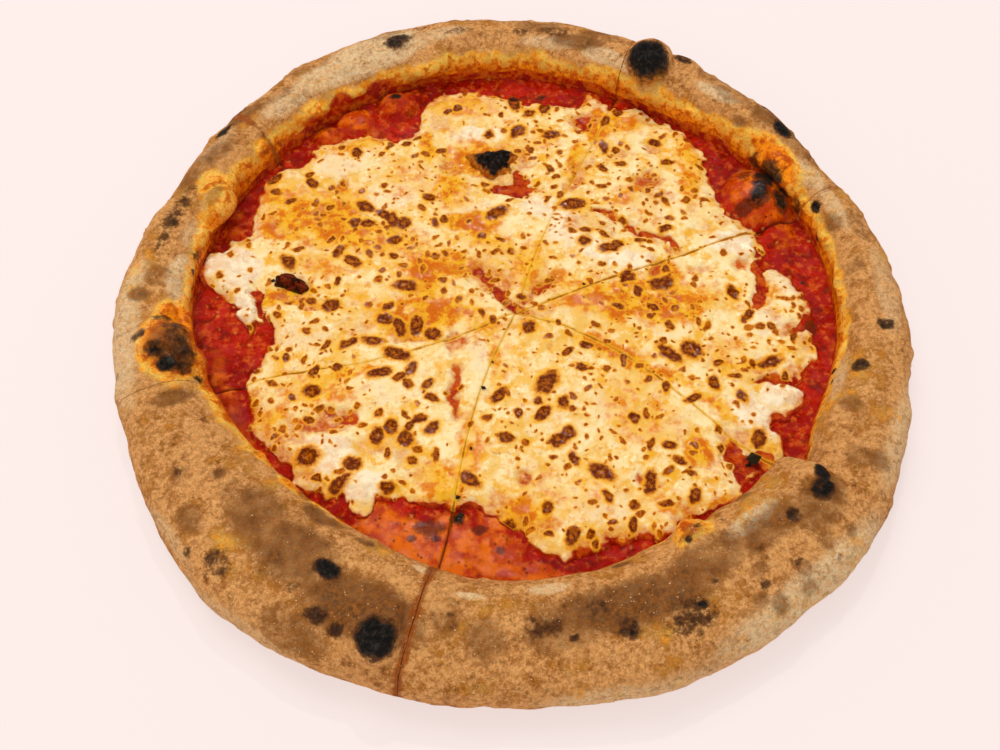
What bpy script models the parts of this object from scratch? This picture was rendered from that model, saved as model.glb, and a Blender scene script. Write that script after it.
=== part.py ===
"""A margherita pizza, 32 cm across, baked with a high puffed rim and cut into six slices.

Each slice is three solids: its dough with the rim, its tomato sauce and its melted mozzarella, which all
show at the cuts. A burnt bubble and a charred basil leaf lie on the cheese. Lengths below are millimetres
and angles are degrees, counter-clockwise from +X round the point where the cuts meet.
"""

import math

import bpy
import numpy as np

MM = 0.001

# Layers, from the underside up
BASE = 4.0          # dough under the toppings
SAUCE = 1.4
CHEESE = 2.6
LAYER_GAP = 0.3     # left between pieces that touch
CUT_GAP = 0.5       # width of a cut

# The rim: its outline every 15 degrees, its inner edge and its height every 30
RIM_OUTER = (157, 154.5, 151.5, 155, 160, 162.5, 165, 168, 169.5, 164, 161, 159.5,
             161.5, 159.5, 161, 164, 164.5, 163, 161.5, 162, 163.5, 163, 161, 156)
RIM_TOE = (130, 133, 131, 138, 139, 135, 132, 119, 113, 118, 114, 122)
RIM_HEIGHT = (22, 22, 24, 23, 23, 22, 22, 23, 24, 24, 24, 23)
RIM_CREST = 0.46    # how far across the rim its top lies
RIM_WAIST = 0.40    # how high up its outer side is widest
RIM_SWEEP = 245     # turn of the skin from the toe, over the top, to the foot
RIM_SKIN = 72       # length of the skin from toe to foot
RIM_BRIM = 0.045    # place on the skin level with the cheese, under which it doesn't swell

# How round the rim's section is: powers of the turn's sine and cosine, 1 being an ellipse
INNER_POWER = 0.9
OUTER_POWER = 0.7
CROWN_POWER = 0.85

# Blisters of the rim: angle, place over the skin (0 toe, 1 foot), half width, height, and slope (1 a ball)
BLISTERS = (
    (66.0, 0.33, 11.0, 9.0, 0.8),
    (64.0, 0.12, 10.0, 3.5, 1.3),
    (32.5, 0.12, 15.0, 7.0, 1.2),
    (192.0, 0.26, 15.0, 4.0, 1.3),
    (160.0, 0.13, 14.0, 6.0, 1.2),
    (108.0, 0.12, 13.0, 4.5, 1.3),
    (132.0, 0.12, 9.0, 3.0, 1.3),
    (252.5, 0.45, 9.0, 4.0, 1.0),
    (322.5, 0.30, 7.0, 3.5, 1.0),
    (302.0, 0.10, 8.0, 3.5, 1.2),
    (148.0, 0.62, 9.0, 2.0, 1.3),
    (60.0, 0.55, 8.0, 2.0, 1.3),
)
# Unevenness of the rim: height, waves round the pizza, change over the skin, start
RIPPLES = ((0.6, 7, 6, 0), (0.4, 12, -5, 1))

# One slice's rim stands further in and higher than its neighbour's across the last cut
STEP_TOE = 7.0
STEP_RISE = 2.0
STEP_REACH = 14
STEP_SHARE = 0.3    # part of the step that the neighbour takes up the other way

# Where the melted cheese ends, one value every 15 degrees
CHEESE_EDGE = (120, 110, 108, 117, 129, 128, 121, 128, 114, 125, 129, 131,
               119, 105, 109, 110, 104, 94, 99, 107, 112, 115, 116, 115)
CHEESE_LIP = 3.0    # width of its thinning edge
CHEESE_WAVES = (0.25, 9, 8, 0.2, 6)     # height and lengths of its broad waves, then of its slanted ones

# Each cut leaves the middle at its first angle and bends to its second
CUTS = ((25, 24), (77, 70.5), (142.5, 143), (210, 199.5), (248, 257), (342, 325.5))
CUT_BEND = 110      # radius where the bending ends

# Pieces that lie on the cheese: middle, half length, half width, height
BURNT_BUBBLE = (-12, 81, 9.5, 8, 5)
BASIL_LEAF = (-94.5, 11.5, 7.5, 5, 1.6)
LEAF_THICKNESS = 0.7
REST_LIFT = 0.75    # over the cheese's mean level, so that they clear its waves

# Mesh steps
STEP_ANGLE = 1.8
RIM_ROWS = 14
BASE_ROWS = (30, 60, 85, 110)
BASE_CORNERS = (6, 11, 16, 20)
SAUCE_CORNERS = (3, 5, 7, 10, 16)
CHEESE_CORNERS = (4, 8, 13, 22)


def around(values, angle):
    """A smooth closed curve through values that are evenly spaced round the pizza."""
    values = np.asarray(values, float)
    place = np.asarray(angle, float) / 360 * len(values)
    first = np.floor(place).astype(int)
    t = place - first
    before, start, end, after = (values[(first + k) % len(values)] for k in (-1, 0, 1, 2))
    bend = 2 * before - 5 * start + 4 * end - after + t * (3 * (start - end) + after - before)
    return start + 0.5 * t * (end - before + t * bend)


def smooth(x):
    """Rises gently from 0 to 1."""
    x = np.clip(x, 0, 1)
    return x * x * (3 - 2 * x)


def apart(angle, other):
    """Signed turn from the other angle to this one."""
    return (np.asarray(angle) - other + 180) % 360 - 180


def cut_angle(number, radius):
    start, end = CUTS[number % 6]
    return start + (end - start) * smooth(np.asarray(radius) / CUT_BEND)


def step(number, angle):
    """How far this slice's rim is moved by the step across the last cut."""
    near = smooth(1 - np.abs(apart(angle, CUTS[5][1])) / STEP_REACH)
    return near * ((number == 5) - STEP_SHARE * (number == 4))


def toe(number, angle):
    return around(RIM_TOE, angle) + STEP_TOE * step(number, angle)


def rim_section(number, angle, t):
    """Radius and height of the rim's skin before it blisters, t running from toe to foot."""
    inner, outer = toe(number, angle), around(RIM_OUTER, angle)
    height = around(RIM_HEIGHT, angle) - STEP_RISE * step(number, angle)
    turn = np.radians(180 - RIM_SWEEP * t)
    side, rise = np.cos(turn), np.sin(turn)
    inside = side < 0
    across = np.where(inside, RIM_CREST * (1 - np.abs(side) ** INNER_POWER),
                      RIM_CREST + (1 - RIM_CREST) * np.abs(side) ** OUTER_POWER)
    low = np.where(inside, BASE / height, RIM_WAIST)
    over = low + (1 - low) * np.clip(rise, 0, 1) ** CROWN_POWER
    under = low * (1 + rise / math.sin(math.radians(RIM_SWEEP - 180)))
    return inner + (outer - inner) * across, height * np.where(rise >= 0, over, under)


def swelling(angle, t):
    """How far the skin is pushed out by its blisters and its unevenness."""
    turn = np.radians(angle)
    out = sum(height * np.sin(waves * turn + change * t + start) for height, waves, change, start in RIPPLES)
    for blister, place, half, height, slope in BLISTERS:
        along = np.radians(apart(angle, blister)) * (around(RIM_TOE, blister) + RIM_SKIN * place / 2)
        far = (along**2 + ((t - place) * RIM_SKIN) ** 2) / half**2
        out = out + height * np.clip(1 - far, 0, 1) ** slope
    return out * smooth((t - RIM_BRIM) / 0.1) * smooth((1 - t) / 0.2)


def rim_skin(number, angle, t):
    """Radius and height of the blistered skin, pushed out square to its section."""
    radius, height = rim_section(number, angle, t)
    ahead, behind = (rim_section(number, angle, np.clip(t + d, 0, 1)) for d in (0.02, -0.02))
    along, up = ahead[0] - behind[0], ahead[1] - behind[1]
    push = swelling(angle, t) / np.hypot(along, up)
    return radius - up * push, height + along * push


def cheese_top(x, y):
    """Height of the cheese's uneven top."""
    broad, long, wide, slanted, slant = CHEESE_WAVES
    low = BASE + SAUCE + CHEESE + 2 * LAYER_GAP
    return low + broad * np.sin(x / long + 1) * np.cos(y / wide) + slanted * np.sin((x + y) / slant)


def middle():
    """The middle of the rim's outline, which becomes the origin."""
    angle = np.arange(0, 360, 0.25)
    radius = around(RIM_OUTER, angle)
    x, y = radius * np.cos(np.radians(angle)), radius * np.sin(np.radians(angle))
    return np.array([x.max() + x.min(), y.max() + y.min(), 0]) / 2


def row(number, count, reach, height, gap):
    """Points across one slice, from its first cut to its next, at the radius and height that are given."""
    share = np.linspace(0, 1, count + 1)
    first, last = CUTS[number][1], CUTS[(number + 1) % 6][1]
    angle = first + share * ((last - first) % 360)
    for _ in range(4):
        radius = reach(angle) if callable(reach) else np.full(count + 1, float(reach))
        first, last = cut_angle(number, radius), cut_angle(number + 1, radius)
        side = np.degrees(np.arcsin(gap / 2 / radius))
        angle = first + side + share * ((last - first) % 360 - 2 * side)
    x, y = radius * np.cos(np.radians(angle)), radius * np.sin(np.radians(angle))
    z = height(angle, x, y) if callable(height) else np.full(count + 1, float(height))
    return np.stack([x, y, z], 1)


def apex(number, height, gap):
    """The slice's point, where its two cut sides meet."""
    first, last = CUTS[number][0], CUTS[(number + 1) % 6][0]
    half = ((last - first) % 360) / 2
    radius = gap / 2 / math.sin(math.radians(half))
    turn = math.radians(first + half)
    return np.array([[radius * math.cos(turn), radius * math.sin(turn), height]])


def zip_rows(lower, upper):
    """Triangles between two rows of corners, which may differ in number."""
    faces, i, j = [], 0, 0
    last_i, last_j = len(lower) - 1, len(upper) - 1
    while i < last_i or j < last_j:
        if j == last_j or (i < last_i and (i + 1) * last_j <= (j + 1) * last_i):
            faces.append((lower[i], upper[j], lower[i + 1]))
            i += 1
        else:
            faces.append((lower[i], upper[j], upper[j + 1]))
            j += 1
    return faces


def material(name, colour, roughness):
    made = bpy.data.materials.new(name)
    made.use_nodes = True
    shader = made.node_tree.nodes["Principled BSDF"]
    shader.inputs["Base Color"].default_value = (*colour, 1)
    shader.inputs["Roughness"].default_value = roughness
    shader.inputs["Metallic"].default_value = 0
    return made


def add_object(name, points, faces, finish):
    mesh = bpy.data.meshes.new(name)
    mesh.from_pydata(((np.asarray(points) - MIDDLE) * MM).tolist(), [], faces)
    mesh.validate()
    mesh.shade_smooth()
    mesh.set_sharp_from_angle(angle=math.radians(50))
    mesh.materials.append(finish)
    made = bpy.data.objects.new(name, mesh)
    bpy.context.collection.objects.link(made)


def slice_solid(name, rows, level, finish):
    """A closed slice, whose rows run from its point outwards over the top to the edge of its flat underside.

    The rows before the level lie over the underside, so each cut side is strips down to it and then a fan.
    """
    points, corners = [], []
    for line in rows:
        corners.append(list(range(len(points), len(points) + len(line))))
        points.extend(line)
    floor = rows[-1][0][2]
    under = []
    for line in rows[:level]:
        ends = [line[0], line[-1]] if len(line) > 1 else [line[0]]
        under.append(list(range(len(points), len(points) + len(ends))))
        points.extend([(x, y, floor) for x, y, _ in ends])
    faces = [face for inner, outer in zip(corners, corners[1:]) for face in zip_rows(inner, outer)]
    for end, side in ((0, 1), (-1, -1)):
        for index in range(level - 1):
            strip = (corners[index][end], corners[index + 1][end], under[index + 1][end], under[index][end])
            faces.append(strip[::-side])
        hub = under[-1][end]
        fan = [line[end] for line in corners[level - 1:]]
        faces.extend((hub, a, b)[::-side] for a, b in zip(fan, fan[1:]))
    outline = [ends[0] for ends in under] + corners[-1] + [ends[-1] for ends in under[:0:-1]]
    faces.append(tuple(outline[::-1]))
    add_object(name, points, faces, finish)


def build_dough(number, finish):
    """The thin base with the rim's skin, which folds over the top and down to the foot."""
    def rim_row(t):
        return row(number, count, lambda angle: rim_skin(number, angle, t)[0],
                   lambda angle, x, y: rim_skin(number, angle, t)[1], CUT_GAP)

    span = (CUTS[(number + 1) % 6][1] - CUTS[number][1]) % 360
    count = round(span / STEP_ANGLE)
    rows = [apex(number, BASE, CUT_GAP)]
    rows += [row(number, corners, radius, BASE, CUT_GAP) for corners, radius in zip(BASE_CORNERS, BASE_ROWS)]
    rows += [rim_row(t) for t in (0, RIM_BRIM, *np.linspace(0.1, 1, RIM_ROWS))]
    slice_solid(f"dough_slice_{number + 1}", rows, len(BASE_ROWS) + 2, finish)


def build_sauce(number, finish):
    """A flat layer out to the rim."""
    def edge(angle):
        return toe(number, angle) - 2 * LAYER_GAP

    low = BASE + LAYER_GAP
    top = low + SAUCE
    rows = [apex(number, top, CUT_GAP)]
    rows += [row(number, count, reach, top, CUT_GAP)
             for count, reach in zip(SAUCE_CORNERS, (*BASE_ROWS, edge))]
    rows.append(row(number, SAUCE_CORNERS[-1], edge, low, CUT_GAP))
    slice_solid(f"sauce_slice_{number + 1}", rows, len(rows) - 1, finish)


def build_cheese(number, finish):
    """A wavy layer that thins to a lip, which stops short of the rim."""
    def lip(angle):
        return np.minimum(around(CHEESE_EDGE, angle), toe(number, angle) - CHEESE_LIP / 2)

    def top(angle, x, y):
        return cheese_top(x, y)

    low = BASE + SAUCE + 2 * LAYER_GAP
    last = CHEESE_CORNERS[-1]
    rows = [apex(number, low + CHEESE, CUT_GAP)]
    rows += [row(number, count, radius, top, CUT_GAP) for count, radius in zip(CHEESE_CORNERS, BASE_ROWS[:3])]
    rows.append(row(number, last, lambda angle: lip(angle) - CHEESE_LIP, top, CUT_GAP))
    rows.append(row(number, last, lambda angle: lip(angle) - CHEESE_LIP / 5, low + 0.6 * CHEESE, CUT_GAP))
    rows.append(row(number, last, lip, low, CUT_GAP))
    slice_solid(f"cheese_slice_{number + 1}", rows, len(rows) - 1, finish)


def build_bubble(finish):
    """A blister of dough that broke through the cheese and burnt: a lumpy dome on a flat foot."""
    x, y, long, wide, tall = BURNT_BUBBLE
    rings, sides = 5, 18
    turn = np.radians(np.linspace(0, 360, sides, endpoint=False))
    lumpy = 1 + 0.09 * np.sin(3 * turn + 0.6) + 0.05 * np.sin(5 * turn)
    foot = BASE + SAUCE + CHEESE + 2 * LAYER_GAP + REST_LIFT
    points = []
    for ring in range(rings):
        rise = math.radians(90 * ring / rings)
        points += list(np.stack([x + long * lumpy * np.cos(turn) * math.cos(rise),
                                 y + wide * lumpy * np.sin(turn) * math.cos(rise),
                                 np.full(sides, foot + tall * math.sin(rise))], 1))
    points.append((x, y, foot + tall))
    faces = [tuple(range(sides))[::-1]]
    for ring in range(rings - 1):
        for k in range(sides):
            a, b = ring * sides + k, ring * sides + (k + 1) % sides
            faces.append((a, b, b + sides, a + sides))
    top = (rings - 1) * sides
    faces += [(top + k, top + (k + 1) % sides, rings * sides) for k in range(sides)]
    add_object("burnt_bubble", points, faces, finish)


def build_leaf(finish):
    """A basil leaf dried and charred by the oven: a thin pointed sheet, cupped along its rib."""
    x, y, long, wide, tall = BASIL_LEAF
    steps, across = 8, 4
    foot = BASE + SAUCE + CHEESE + 2 * LAYER_GAP + REST_LIFT
    along = np.linspace(-1, 1, steps + 1)
    points, half = [], (steps - 1) * (across + 1) + 2
    for lift in (LEAF_THICKNESS, 0):
        points.append((x - long, y, foot + lift))
        for u in along[1:-1]:
            for v in np.linspace(-1, 1, across + 1):
                breadth = wide * (1 - u * u) ** 0.6 * (1 - 0.2 * u)
                curl = tall * (abs(v) ** 1.5 * (1 - u * u) + 0.15 * (1 + math.sin(5 * u + 2 * v)))
                points.append((x + long * u, y + breadth * v, foot + lift + curl))
        points.append((x + long, y, foot + lift))
    faces = []
    for side, start in ((1, 0), (-1, half)):
        first, last = start, start + half - 1
        inner = start + 1
        for k in range(across):
            faces.append((first, inner + k, inner + k + 1)[::side])
            end = last - across - 1 + k
            faces.append((last, end + 1, end)[::side])
            for s in range(steps - 2):
                a = inner + s * (across + 1) + k
                faces.append((a, a + across + 1, a + across + 2, a + 1)[::side])
    edges = [[0] + [1 + s * (across + 1) + k for s in range(steps - 1)] + [half - 1] for k in (0, across)]
    for edge, side in zip(edges, (1, -1)):
        for a, b in zip(edge, edge[1:]):
            faces.append((a, a + half, b + half, b)[::side])
    add_object("basil_leaf", points, faces, finish)


for thing in list(bpy.data.objects):
    bpy.data.objects.remove(thing)

MIDDLE = middle()
crust = material("baked_crust", (0.60, 0.36, 0.18), 0.75)
tomato = material("tomato_sauce", (0.42, 0.03, 0.012), 0.3)
mozzarella = material("melted_mozzarella", (0.90, 0.76, 0.42), 0.35)
char = material("char", (0.022, 0.018, 0.015), 0.7)
for slice_number in range(6):
    build_dough(slice_number, crust)
    build_sauce(slice_number, tomato)
    build_cheese(slice_number, mozzarella)
build_bubble(char)
build_leaf(char)
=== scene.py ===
"""A margherita pizza with a high puffed rim, cut into six slices that still lie together.

Lengths are millimetres and angles are degrees, counter-clockwise from +X round the point where the cuts
meet, until a mesh is made. The slices, layers and rim follow the solids of the frame and fill their places.
"""

import itertools
import math

import bpy
import numpy as np
from mathutils import Matrix, Vector


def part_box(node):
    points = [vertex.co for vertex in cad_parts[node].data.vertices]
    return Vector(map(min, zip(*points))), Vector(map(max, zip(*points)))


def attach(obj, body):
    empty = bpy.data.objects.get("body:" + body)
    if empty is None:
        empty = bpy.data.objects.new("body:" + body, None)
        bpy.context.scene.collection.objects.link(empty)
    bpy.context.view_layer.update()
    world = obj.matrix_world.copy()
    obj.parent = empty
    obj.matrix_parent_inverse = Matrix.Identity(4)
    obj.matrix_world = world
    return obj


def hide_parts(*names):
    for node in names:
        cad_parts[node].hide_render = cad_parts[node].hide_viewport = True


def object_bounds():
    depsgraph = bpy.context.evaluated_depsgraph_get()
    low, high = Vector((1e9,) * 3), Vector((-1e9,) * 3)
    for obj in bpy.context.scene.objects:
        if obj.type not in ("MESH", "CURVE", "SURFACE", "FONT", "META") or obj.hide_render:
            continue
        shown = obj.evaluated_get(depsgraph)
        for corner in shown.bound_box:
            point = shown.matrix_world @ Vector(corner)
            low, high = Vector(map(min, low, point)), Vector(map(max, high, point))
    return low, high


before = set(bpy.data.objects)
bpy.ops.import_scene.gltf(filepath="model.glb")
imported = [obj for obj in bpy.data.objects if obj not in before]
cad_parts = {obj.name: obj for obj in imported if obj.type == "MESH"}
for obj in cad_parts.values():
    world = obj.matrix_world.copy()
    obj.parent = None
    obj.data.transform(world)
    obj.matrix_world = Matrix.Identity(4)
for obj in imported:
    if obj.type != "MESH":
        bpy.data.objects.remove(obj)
cad_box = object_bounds()

# =====================================================================================================
# Dough. A ball of wheat dough pressed out by hand, thin under the toppings, with the air pushed into a
# rim that puffs up in a hot oven. It browns, blisters and chars unevenly, and it is cut with a wheel.
# =====================================================================================================
MM = 0.001
RIM_OUTER = (157, 154.5, 151.5, 155, 160, 162.5, 165, 168, 169.5, 164, 161, 159.5,
             161.5, 159.5, 161, 164, 164.5, 163, 161.5, 162, 163.5, 163, 161, 156)
RIM_TOE = (130, 133, 131, 138, 139, 135, 132, 119, 113, 118, 114, 122)
RIM_HEIGHT = (22, 22, 24, 23, 23, 22, 22, 23, 24, 24, 24, 23)
RIM_CREST = 0.46
RIM_WAIST = 0.40
RIM_SWEEP = 245
RIM_SKIN = 72
RIM_BRIM = 0.045
INNER_POWER = 0.9
OUTER_POWER = 0.7
CROWN_POWER = 0.85
BLISTERS = (
    (66.0, 0.33, 11.0, 9.0, 0.8),
    (64.0, 0.12, 10.0, 3.5, 1.3),
    (32.5, 0.12, 15.0, 5.0, 1.2),
    (192.0, 0.26, 15.0, 4.0, 1.3),
    (160.0, 0.13, 14.0, 6.0, 1.2),
    (108.0, 0.12, 13.0, 4.5, 1.3),
    (132.0, 0.12, 9.0, 3.0, 1.3),
    (252.5, 0.45, 9.0, 4.0, 1.0),
    (322.5, 0.30, 7.0, 3.5, 1.0),
    (302.0, 0.10, 8.0, 3.5, 1.2),
    (148.0, 0.62, 9.0, 2.0, 1.3),
    (60.0, 0.55, 8.0, 2.0, 1.3),
)
RIPPLES = ((0.6, 7, 6, 0), (0.4, 12, -5, 1))
STEP_TOE = 7.0
STEP_RISE = 2.0
STEP_REACH = 14
STEP_SHARE = 0.3
CUTS = ((25, 24), (77, 70.5), (142.5, 143), (210, 199.5), (248, 257), (342, 325.5))
CUT_BEND = 110
DOUGH_GAP = 0.35
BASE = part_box("dough_slice_1")[0].z / MM + 4.0      # top of the dough under the toppings

COARSE = 1.0                 # mesh spacing is wider for a quick try
SKIN_STEP = 0.66 * COARSE
FOOT_STEP = 1.0 * COARSE

# Uneven skin: size of the lumps and how high they stand
SKIN_LUMPS = ((17, 0.9), (8, 0.5), (4, 0.24), (2.1, 0.11))
# Folds and bubbles on top of the large blisters: angle, place over the skin, half width, height, steepness
FOLDS = (
    (30, .1, 7, 1.6, .7), (38, .09, 6, 1.8, .7), (186, .05, 9, 4, .8), (195, .05, 10, 5, .8), (203, .04, 7, 3.4, .8), (178, .05, 7, 2.5, .8), (34, .2, 6, 1, .7), (24, .1, 5, 1.4, .7), (188, .33, 4, 1.4, .6), (193, .36, 4, 1.6, .6), (184, .26, 4, 1.4, .6),
    (195, .2, 4, 1.4, .6), (160.5, .15, 9, 3.2, .6),
    (154, .2, 5, 1.6, .8), (167, .1, 7, 2.4, .7), (175, .16, 8, 2.4, .7), (182, .12, 6, 2, .7), (192, .3, 9, 1.8, .6),
    (197, .31, 4, 1.6, .5), (189, .2, 5, 1.6, .6), (144, .14, 6, 1.6, .8), (131, .09, 6, 2.6, .7),
    (123, .08, 6, 2.8, .7), (108.7, .08, 9, 2.6, .7), (96, .1, 9, 1.4, .8), (84, .11, 9, 1.4, .8), (73, .05, 5, 2, .7),
    (66, .1, 5, 1.5, .6), (54, .08, 6, 2, .7), (16.5, .12, 6, 2, .7), (5, .1, 6, 1.8, .7), (352, .06, 5, 1.5, .7),
    (301.5, .21, 6.5, 3, .6), (309, .12, 5, 1.2, .8), (324, .34, 5, 1.6, .6), (319, .26, 5, 1, .8),
    (253.5, .46, 7.4, 2.6, .45), (226, .12, 6, 1.6, .7), (219, .13, 5, 1.4, .7), (233, .1, 5, 1.4, .7),
    (242.5, .36, 4, .8, .6), (282, .2, 9, .8, 1), (147, .46, 5, 1, .7), (112, .36, 6, 1, .8),
)
# Small blisters, scattered: how many, smallest and largest half width, height for each mm of width
SMALL_BLISTERS = 380
SMALL_BLISTER_SIZE = (0.9, 3.6)
SMALL_BLISTER_RISE = 0.24

# Marks on the skin: angle, place over it, half length round the pizza, half width over the skin, depth
BURNT = (
    (66.0, .31, 10, 9.5, 1.25), (253.5, .46, 7, 6.6, 1.25), (242.5, .36, 5.2, 3.0, 1.15), (244.7, .46, 4, 3, .7),
    (248, .48, 2.6, 2.4, .7), (240, .42, 2.2, 2.2, .5), (196.7, .33, 2.8, 4, 1.2), (190.7, .26, 9, 5, .62),
    (194.5, .25, 6, 6, .66), (194.2, .36, 4, 5, .66), (190.5, .40, 3, 4, .62), (198.5, .16, 2, 2, .8),
    (324, .345, 3.8, 3.3, 1.2), (321.8, .37, 4.6, 4, .9), (315.7, .36, 3, 2.5, .8), (146.7, .47, 5, 3, .95),
    (112, .37, 7, 4.5, .8), (61, .48, 5, 3, .7), (38.2, .43, 5.5, 3.5, 1.0), (43.5, .51, 3.5, 2.5, .6),
    (22, .20, 2.6, 2.4, 1.1), (17.2, .08, 1.4, 1.6, 1), (355.2, .39, 2.6, 3.4, .72), (346.7, .29, 3.0, 3.6, .66),
    (347.7, .07, 1.3, 1.8, .8), (345, .09, 1.5, 1, .6), (305.2, .44, 2, 2, .6), (225.2, .57, 2.2, 2.6, .5),
    (229.5, .5, 6, 4, .5), (294.2, .43, 8, 7, .5), (286, .41, 4, 4, .6), (282.5, .35, 4, 3, .4),
    (274.5, .37, 7, 4, .4), (161.5, .37, 7, 2.6, .45), (166.2, .38, 8, 3.4, .5), (171, .38, 7, 2.4, .4),
    (101, .37, 7, 2.2, .4), (107.2, .45, 4, 2, .4), (90.2, .36, 4, 2.4, .4), (84.2, .39, 6, 3, .5),
    (296.2, .41, 2, 1.2, .9), (33, .13, 6, 6, .8), (30, .05, 6, 6, .75), (38, .1, 4, 5, .6), (25.5, .08, 3, 4, .6), (187, .3, 4, 4, .6), (197, .26, 3, 5, .7),
    (300, .23, 1.5, 1.5, .8), (303, .2, 1.6, 1.2, .7), (307.7, .2, 1.5, 1.5, .6), (174.7, .12, 1.4, 1.4, .75),
    (171, .12, 2, 2.6, .4), (262, .36, 1.6, 1, .6), (278.5, .40, 1.8, 1.2, .7), (215, .42, 2, 1.6, .5),
    (311, .45, 1.6, 1.2, .6), (299.5, .38, 1.4, .9, .7),
)
SCORCHED = (
    (288, .36, 34, 9, .9), (300, .33, 22, 8, .8), (311, .34, 18, 7, .7), (320, .38, 14, 9, .7),
    (277, .38, 16, 8, .7), (267, .40, 8, 8, .65), (261, .36, 6, 9, .6), (250, .40, 24, 12, .95),
    (237, .36, 20, 12, .85), (228, .34, 12, 10, .8), (243, .55, 16, 8, .6), (222.5, .34, 5, 5, .5), (222, .47, 7, 5, .65),
    (216, .42, 6, 4, .55), (219, .34, 2.5, 2.5, .9), (202.5, .35, 4, 9, .7), (181.7, .41, 4, 5, .7),
    (178, .35, 6, 6, .5), (151.5, .38, 14, 6, .65), (156, .42, 14, 5, .6), (142, .46, 14, 5, .65),
    (136.5, .40, 12, 4, .6), (133, .27, 6, 3, .3), (128, .45, 16, 4, .4), (122.7, .27, 5, 4, .35),
    (100, .5, 36, 3, .25), (87, .42, 14, 5, .7), (76, .44, 12, 4, .6), (113, .45, 10, 4, .45), (80, .36, 14, 5, .75), (55, .46, 10, 4, .6), (49, .40, 14, 6, .6),
    (42, .42, 12, 7, .6), (45, .26, 4, 3, .6), (35, .45, 14, 6, .6), (15, .40, 10, 4, .55),
    (17, .25, 5, 4, .6), (7, .27, 4, 5, .6), (338.7, .29, 4, 5, .6), (331, .37, 5, 6, .65),
    (331.5, .45, 4.5, 5, .65), (319.7, .41, 5, 4, .6), (316, .46, 4, 4, .6), (319.7, .51, 3, 3, .5),
    (311, .48, 4, 4, .6), (310.2, .56, 4, 4, .5), (305.5, .53, 3.5, 4.5, .6), (303.5, .48, 4, 3, .6),
    (306, .40, 4, 3, .6), (235.5, .17, 9, 4, .8), (244.7, .18, 4, 2, .8), (289, .12, 4, 2, .8),
    (301.5, .22, 6, 4, .6), (314, .14, 4, 3, .6), (193, .28, 13, 11, .7), (230, .11, 4, 2.6, .8), (224, .13, 3, 2, .7), (160, .24, 8, 3, .6),
)
OILY = ((193, .27, 14, 13, 1.0), (186, .2, 8, 8, .8), (302, .18, 9, 7, .55), (35, .2, 16, 8, .95), (157, .3, 7, 5, .4), (164, .16, 6, 4, .7), (150, .16, 6, 4, .6),
        (226, .1, 6, 5, .9), (232, .08, 5, 4, .9), (238, .07, 4, 3, .8), (219, .12, 5, 4, .7))
SAUCED = ((193, .12, 8, 4, .7), (199, .1, 5, 3, .6), (118, .08, 8, 5, .9), (126, .1, 7, 5, .8), (133, .1, 5, 4, .6),
          (36, .04, 14, 7, .8), (30, .1, 5, 4, .6))
# How far over the skin oil and sauce have soaked, one value every 10 degrees
OIL_REACH = (.19, .22, .22, .28, .27, .23, .21, .22, .22, .24, .24, .22, .2, .22, .24, .3, .3, .22,
             .22, .34, .28, .24, .18, .16, .1, .06, .05, .05, .05, .05, .1, .07, .06, .08, .12, .14)
SAUCE_REACH = (.03, .04, .06, .05, .06, .06, .05, .055, .065, .07, .06, .055, .09, .09, .07, .06, .06, .05,
               .05, .07, .06, .035, .03, .02, .01, .01, .01, .01, .01, .01, .02, .01, .01, .02, .025, .03)
# Paler patches of skin: crust that browned less, and over the far rim's top also painted light that brightens it.
# Angle, place over the skin, half length round the pizza, half width over the skin, strength
PALE_CRUST_AND_PAINTED_LIGHT = (
    (116, .40, 24, 6, .9), (104, .37, 14, 5, .6), (78, .36, 14, 5, .3),
    (124, .33, 18, 5, .9), (114, .27, 12, 4, .7), (75, .28, 10, 4, .8), (52, .36, 12, 4, .8), (28, .36, 12, 5, .6),
    (310.5, .28, 12, 4, .9), (190, .52, 34, 9, .7), (178, .46, 10, 6, .6), (310, .62, 44, 10, .8),
    (338, .60, 30, 9, .6), (285, .72, 40, 8, .6), (264, .27, 6, 1.6, .9), (256, .19, 5, 2.5, .8),
    (345, .15, 14, 4, .6), (276, .22, 8, 3, .7), (235, .72, 34, 8, .5), (120, .32, 34, 8, 1), (92, .31, 40, 5, .3), (70, .26, 20, 4, .6),
    (160.5, .15, 8, 7, .9), (177, .18, 12, 7, .9), (168, .2, 8, 6, .6), (150, .42, 14, 4, .5), (20, .34, 16, 4, .6),
    (2, .42, 26, 6, .5), (85, .3, 16, 4, .6), (135, .33, 16, 6, .7), (222, .62, 20, 4, .5),
)
CUT_STAIN = (0.5, 0.3, 0.8, 0.4, 1.0, 0.5)          # how far oil and sauce have coloured the rim at each cut


def around(values, angle):
    """A smooth closed curve through values that are evenly spaced round the pizza."""
    values = np.asarray(values, float)
    place = np.asarray(angle, float) / 360 * len(values)
    first = np.floor(place).astype(int)
    t = place - first
    before, start, end, after = (values[(first + k) % len(values)] for k in (-1, 0, 1, 2))
    bend = 2 * before - 5 * start + 4 * end - after + t * (3 * (start - end) + after - before)
    return start + 0.5 * t * (end - before + t * bend)


def smooth(x):
    """Rises gently from 0 to 1."""
    x = np.clip(x, 0, 1)
    return x * x * (3 - 2 * x)


def apart(angle, other):
    """Signed turn from the other angle to this one."""
    return (np.asarray(angle) - other + 180) % 360 - 180


def lumps(points, size, seed):
    """Soft random lumps from -1 to 1, about one to each size."""
    table = np.random.default_rng(seed).uniform(-1, 1, (32, 32, 32))
    place = points / size + 500
    first = np.floor(place).astype(int)
    part = smooth(place - first)
    total = 0
    for corner in itertools.product((0, 1), repeat=3):
        weight = np.prod(np.where(corner, part, 1 - part), axis=1)
        total = total + weight * table[tuple(((first + corner) % 32).T)]
    return total


def cut_angle(number, radius):
    start, end = CUTS[number % 6]
    return start + (end - start) * smooth(np.asarray(radius) / CUT_BEND)


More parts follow.
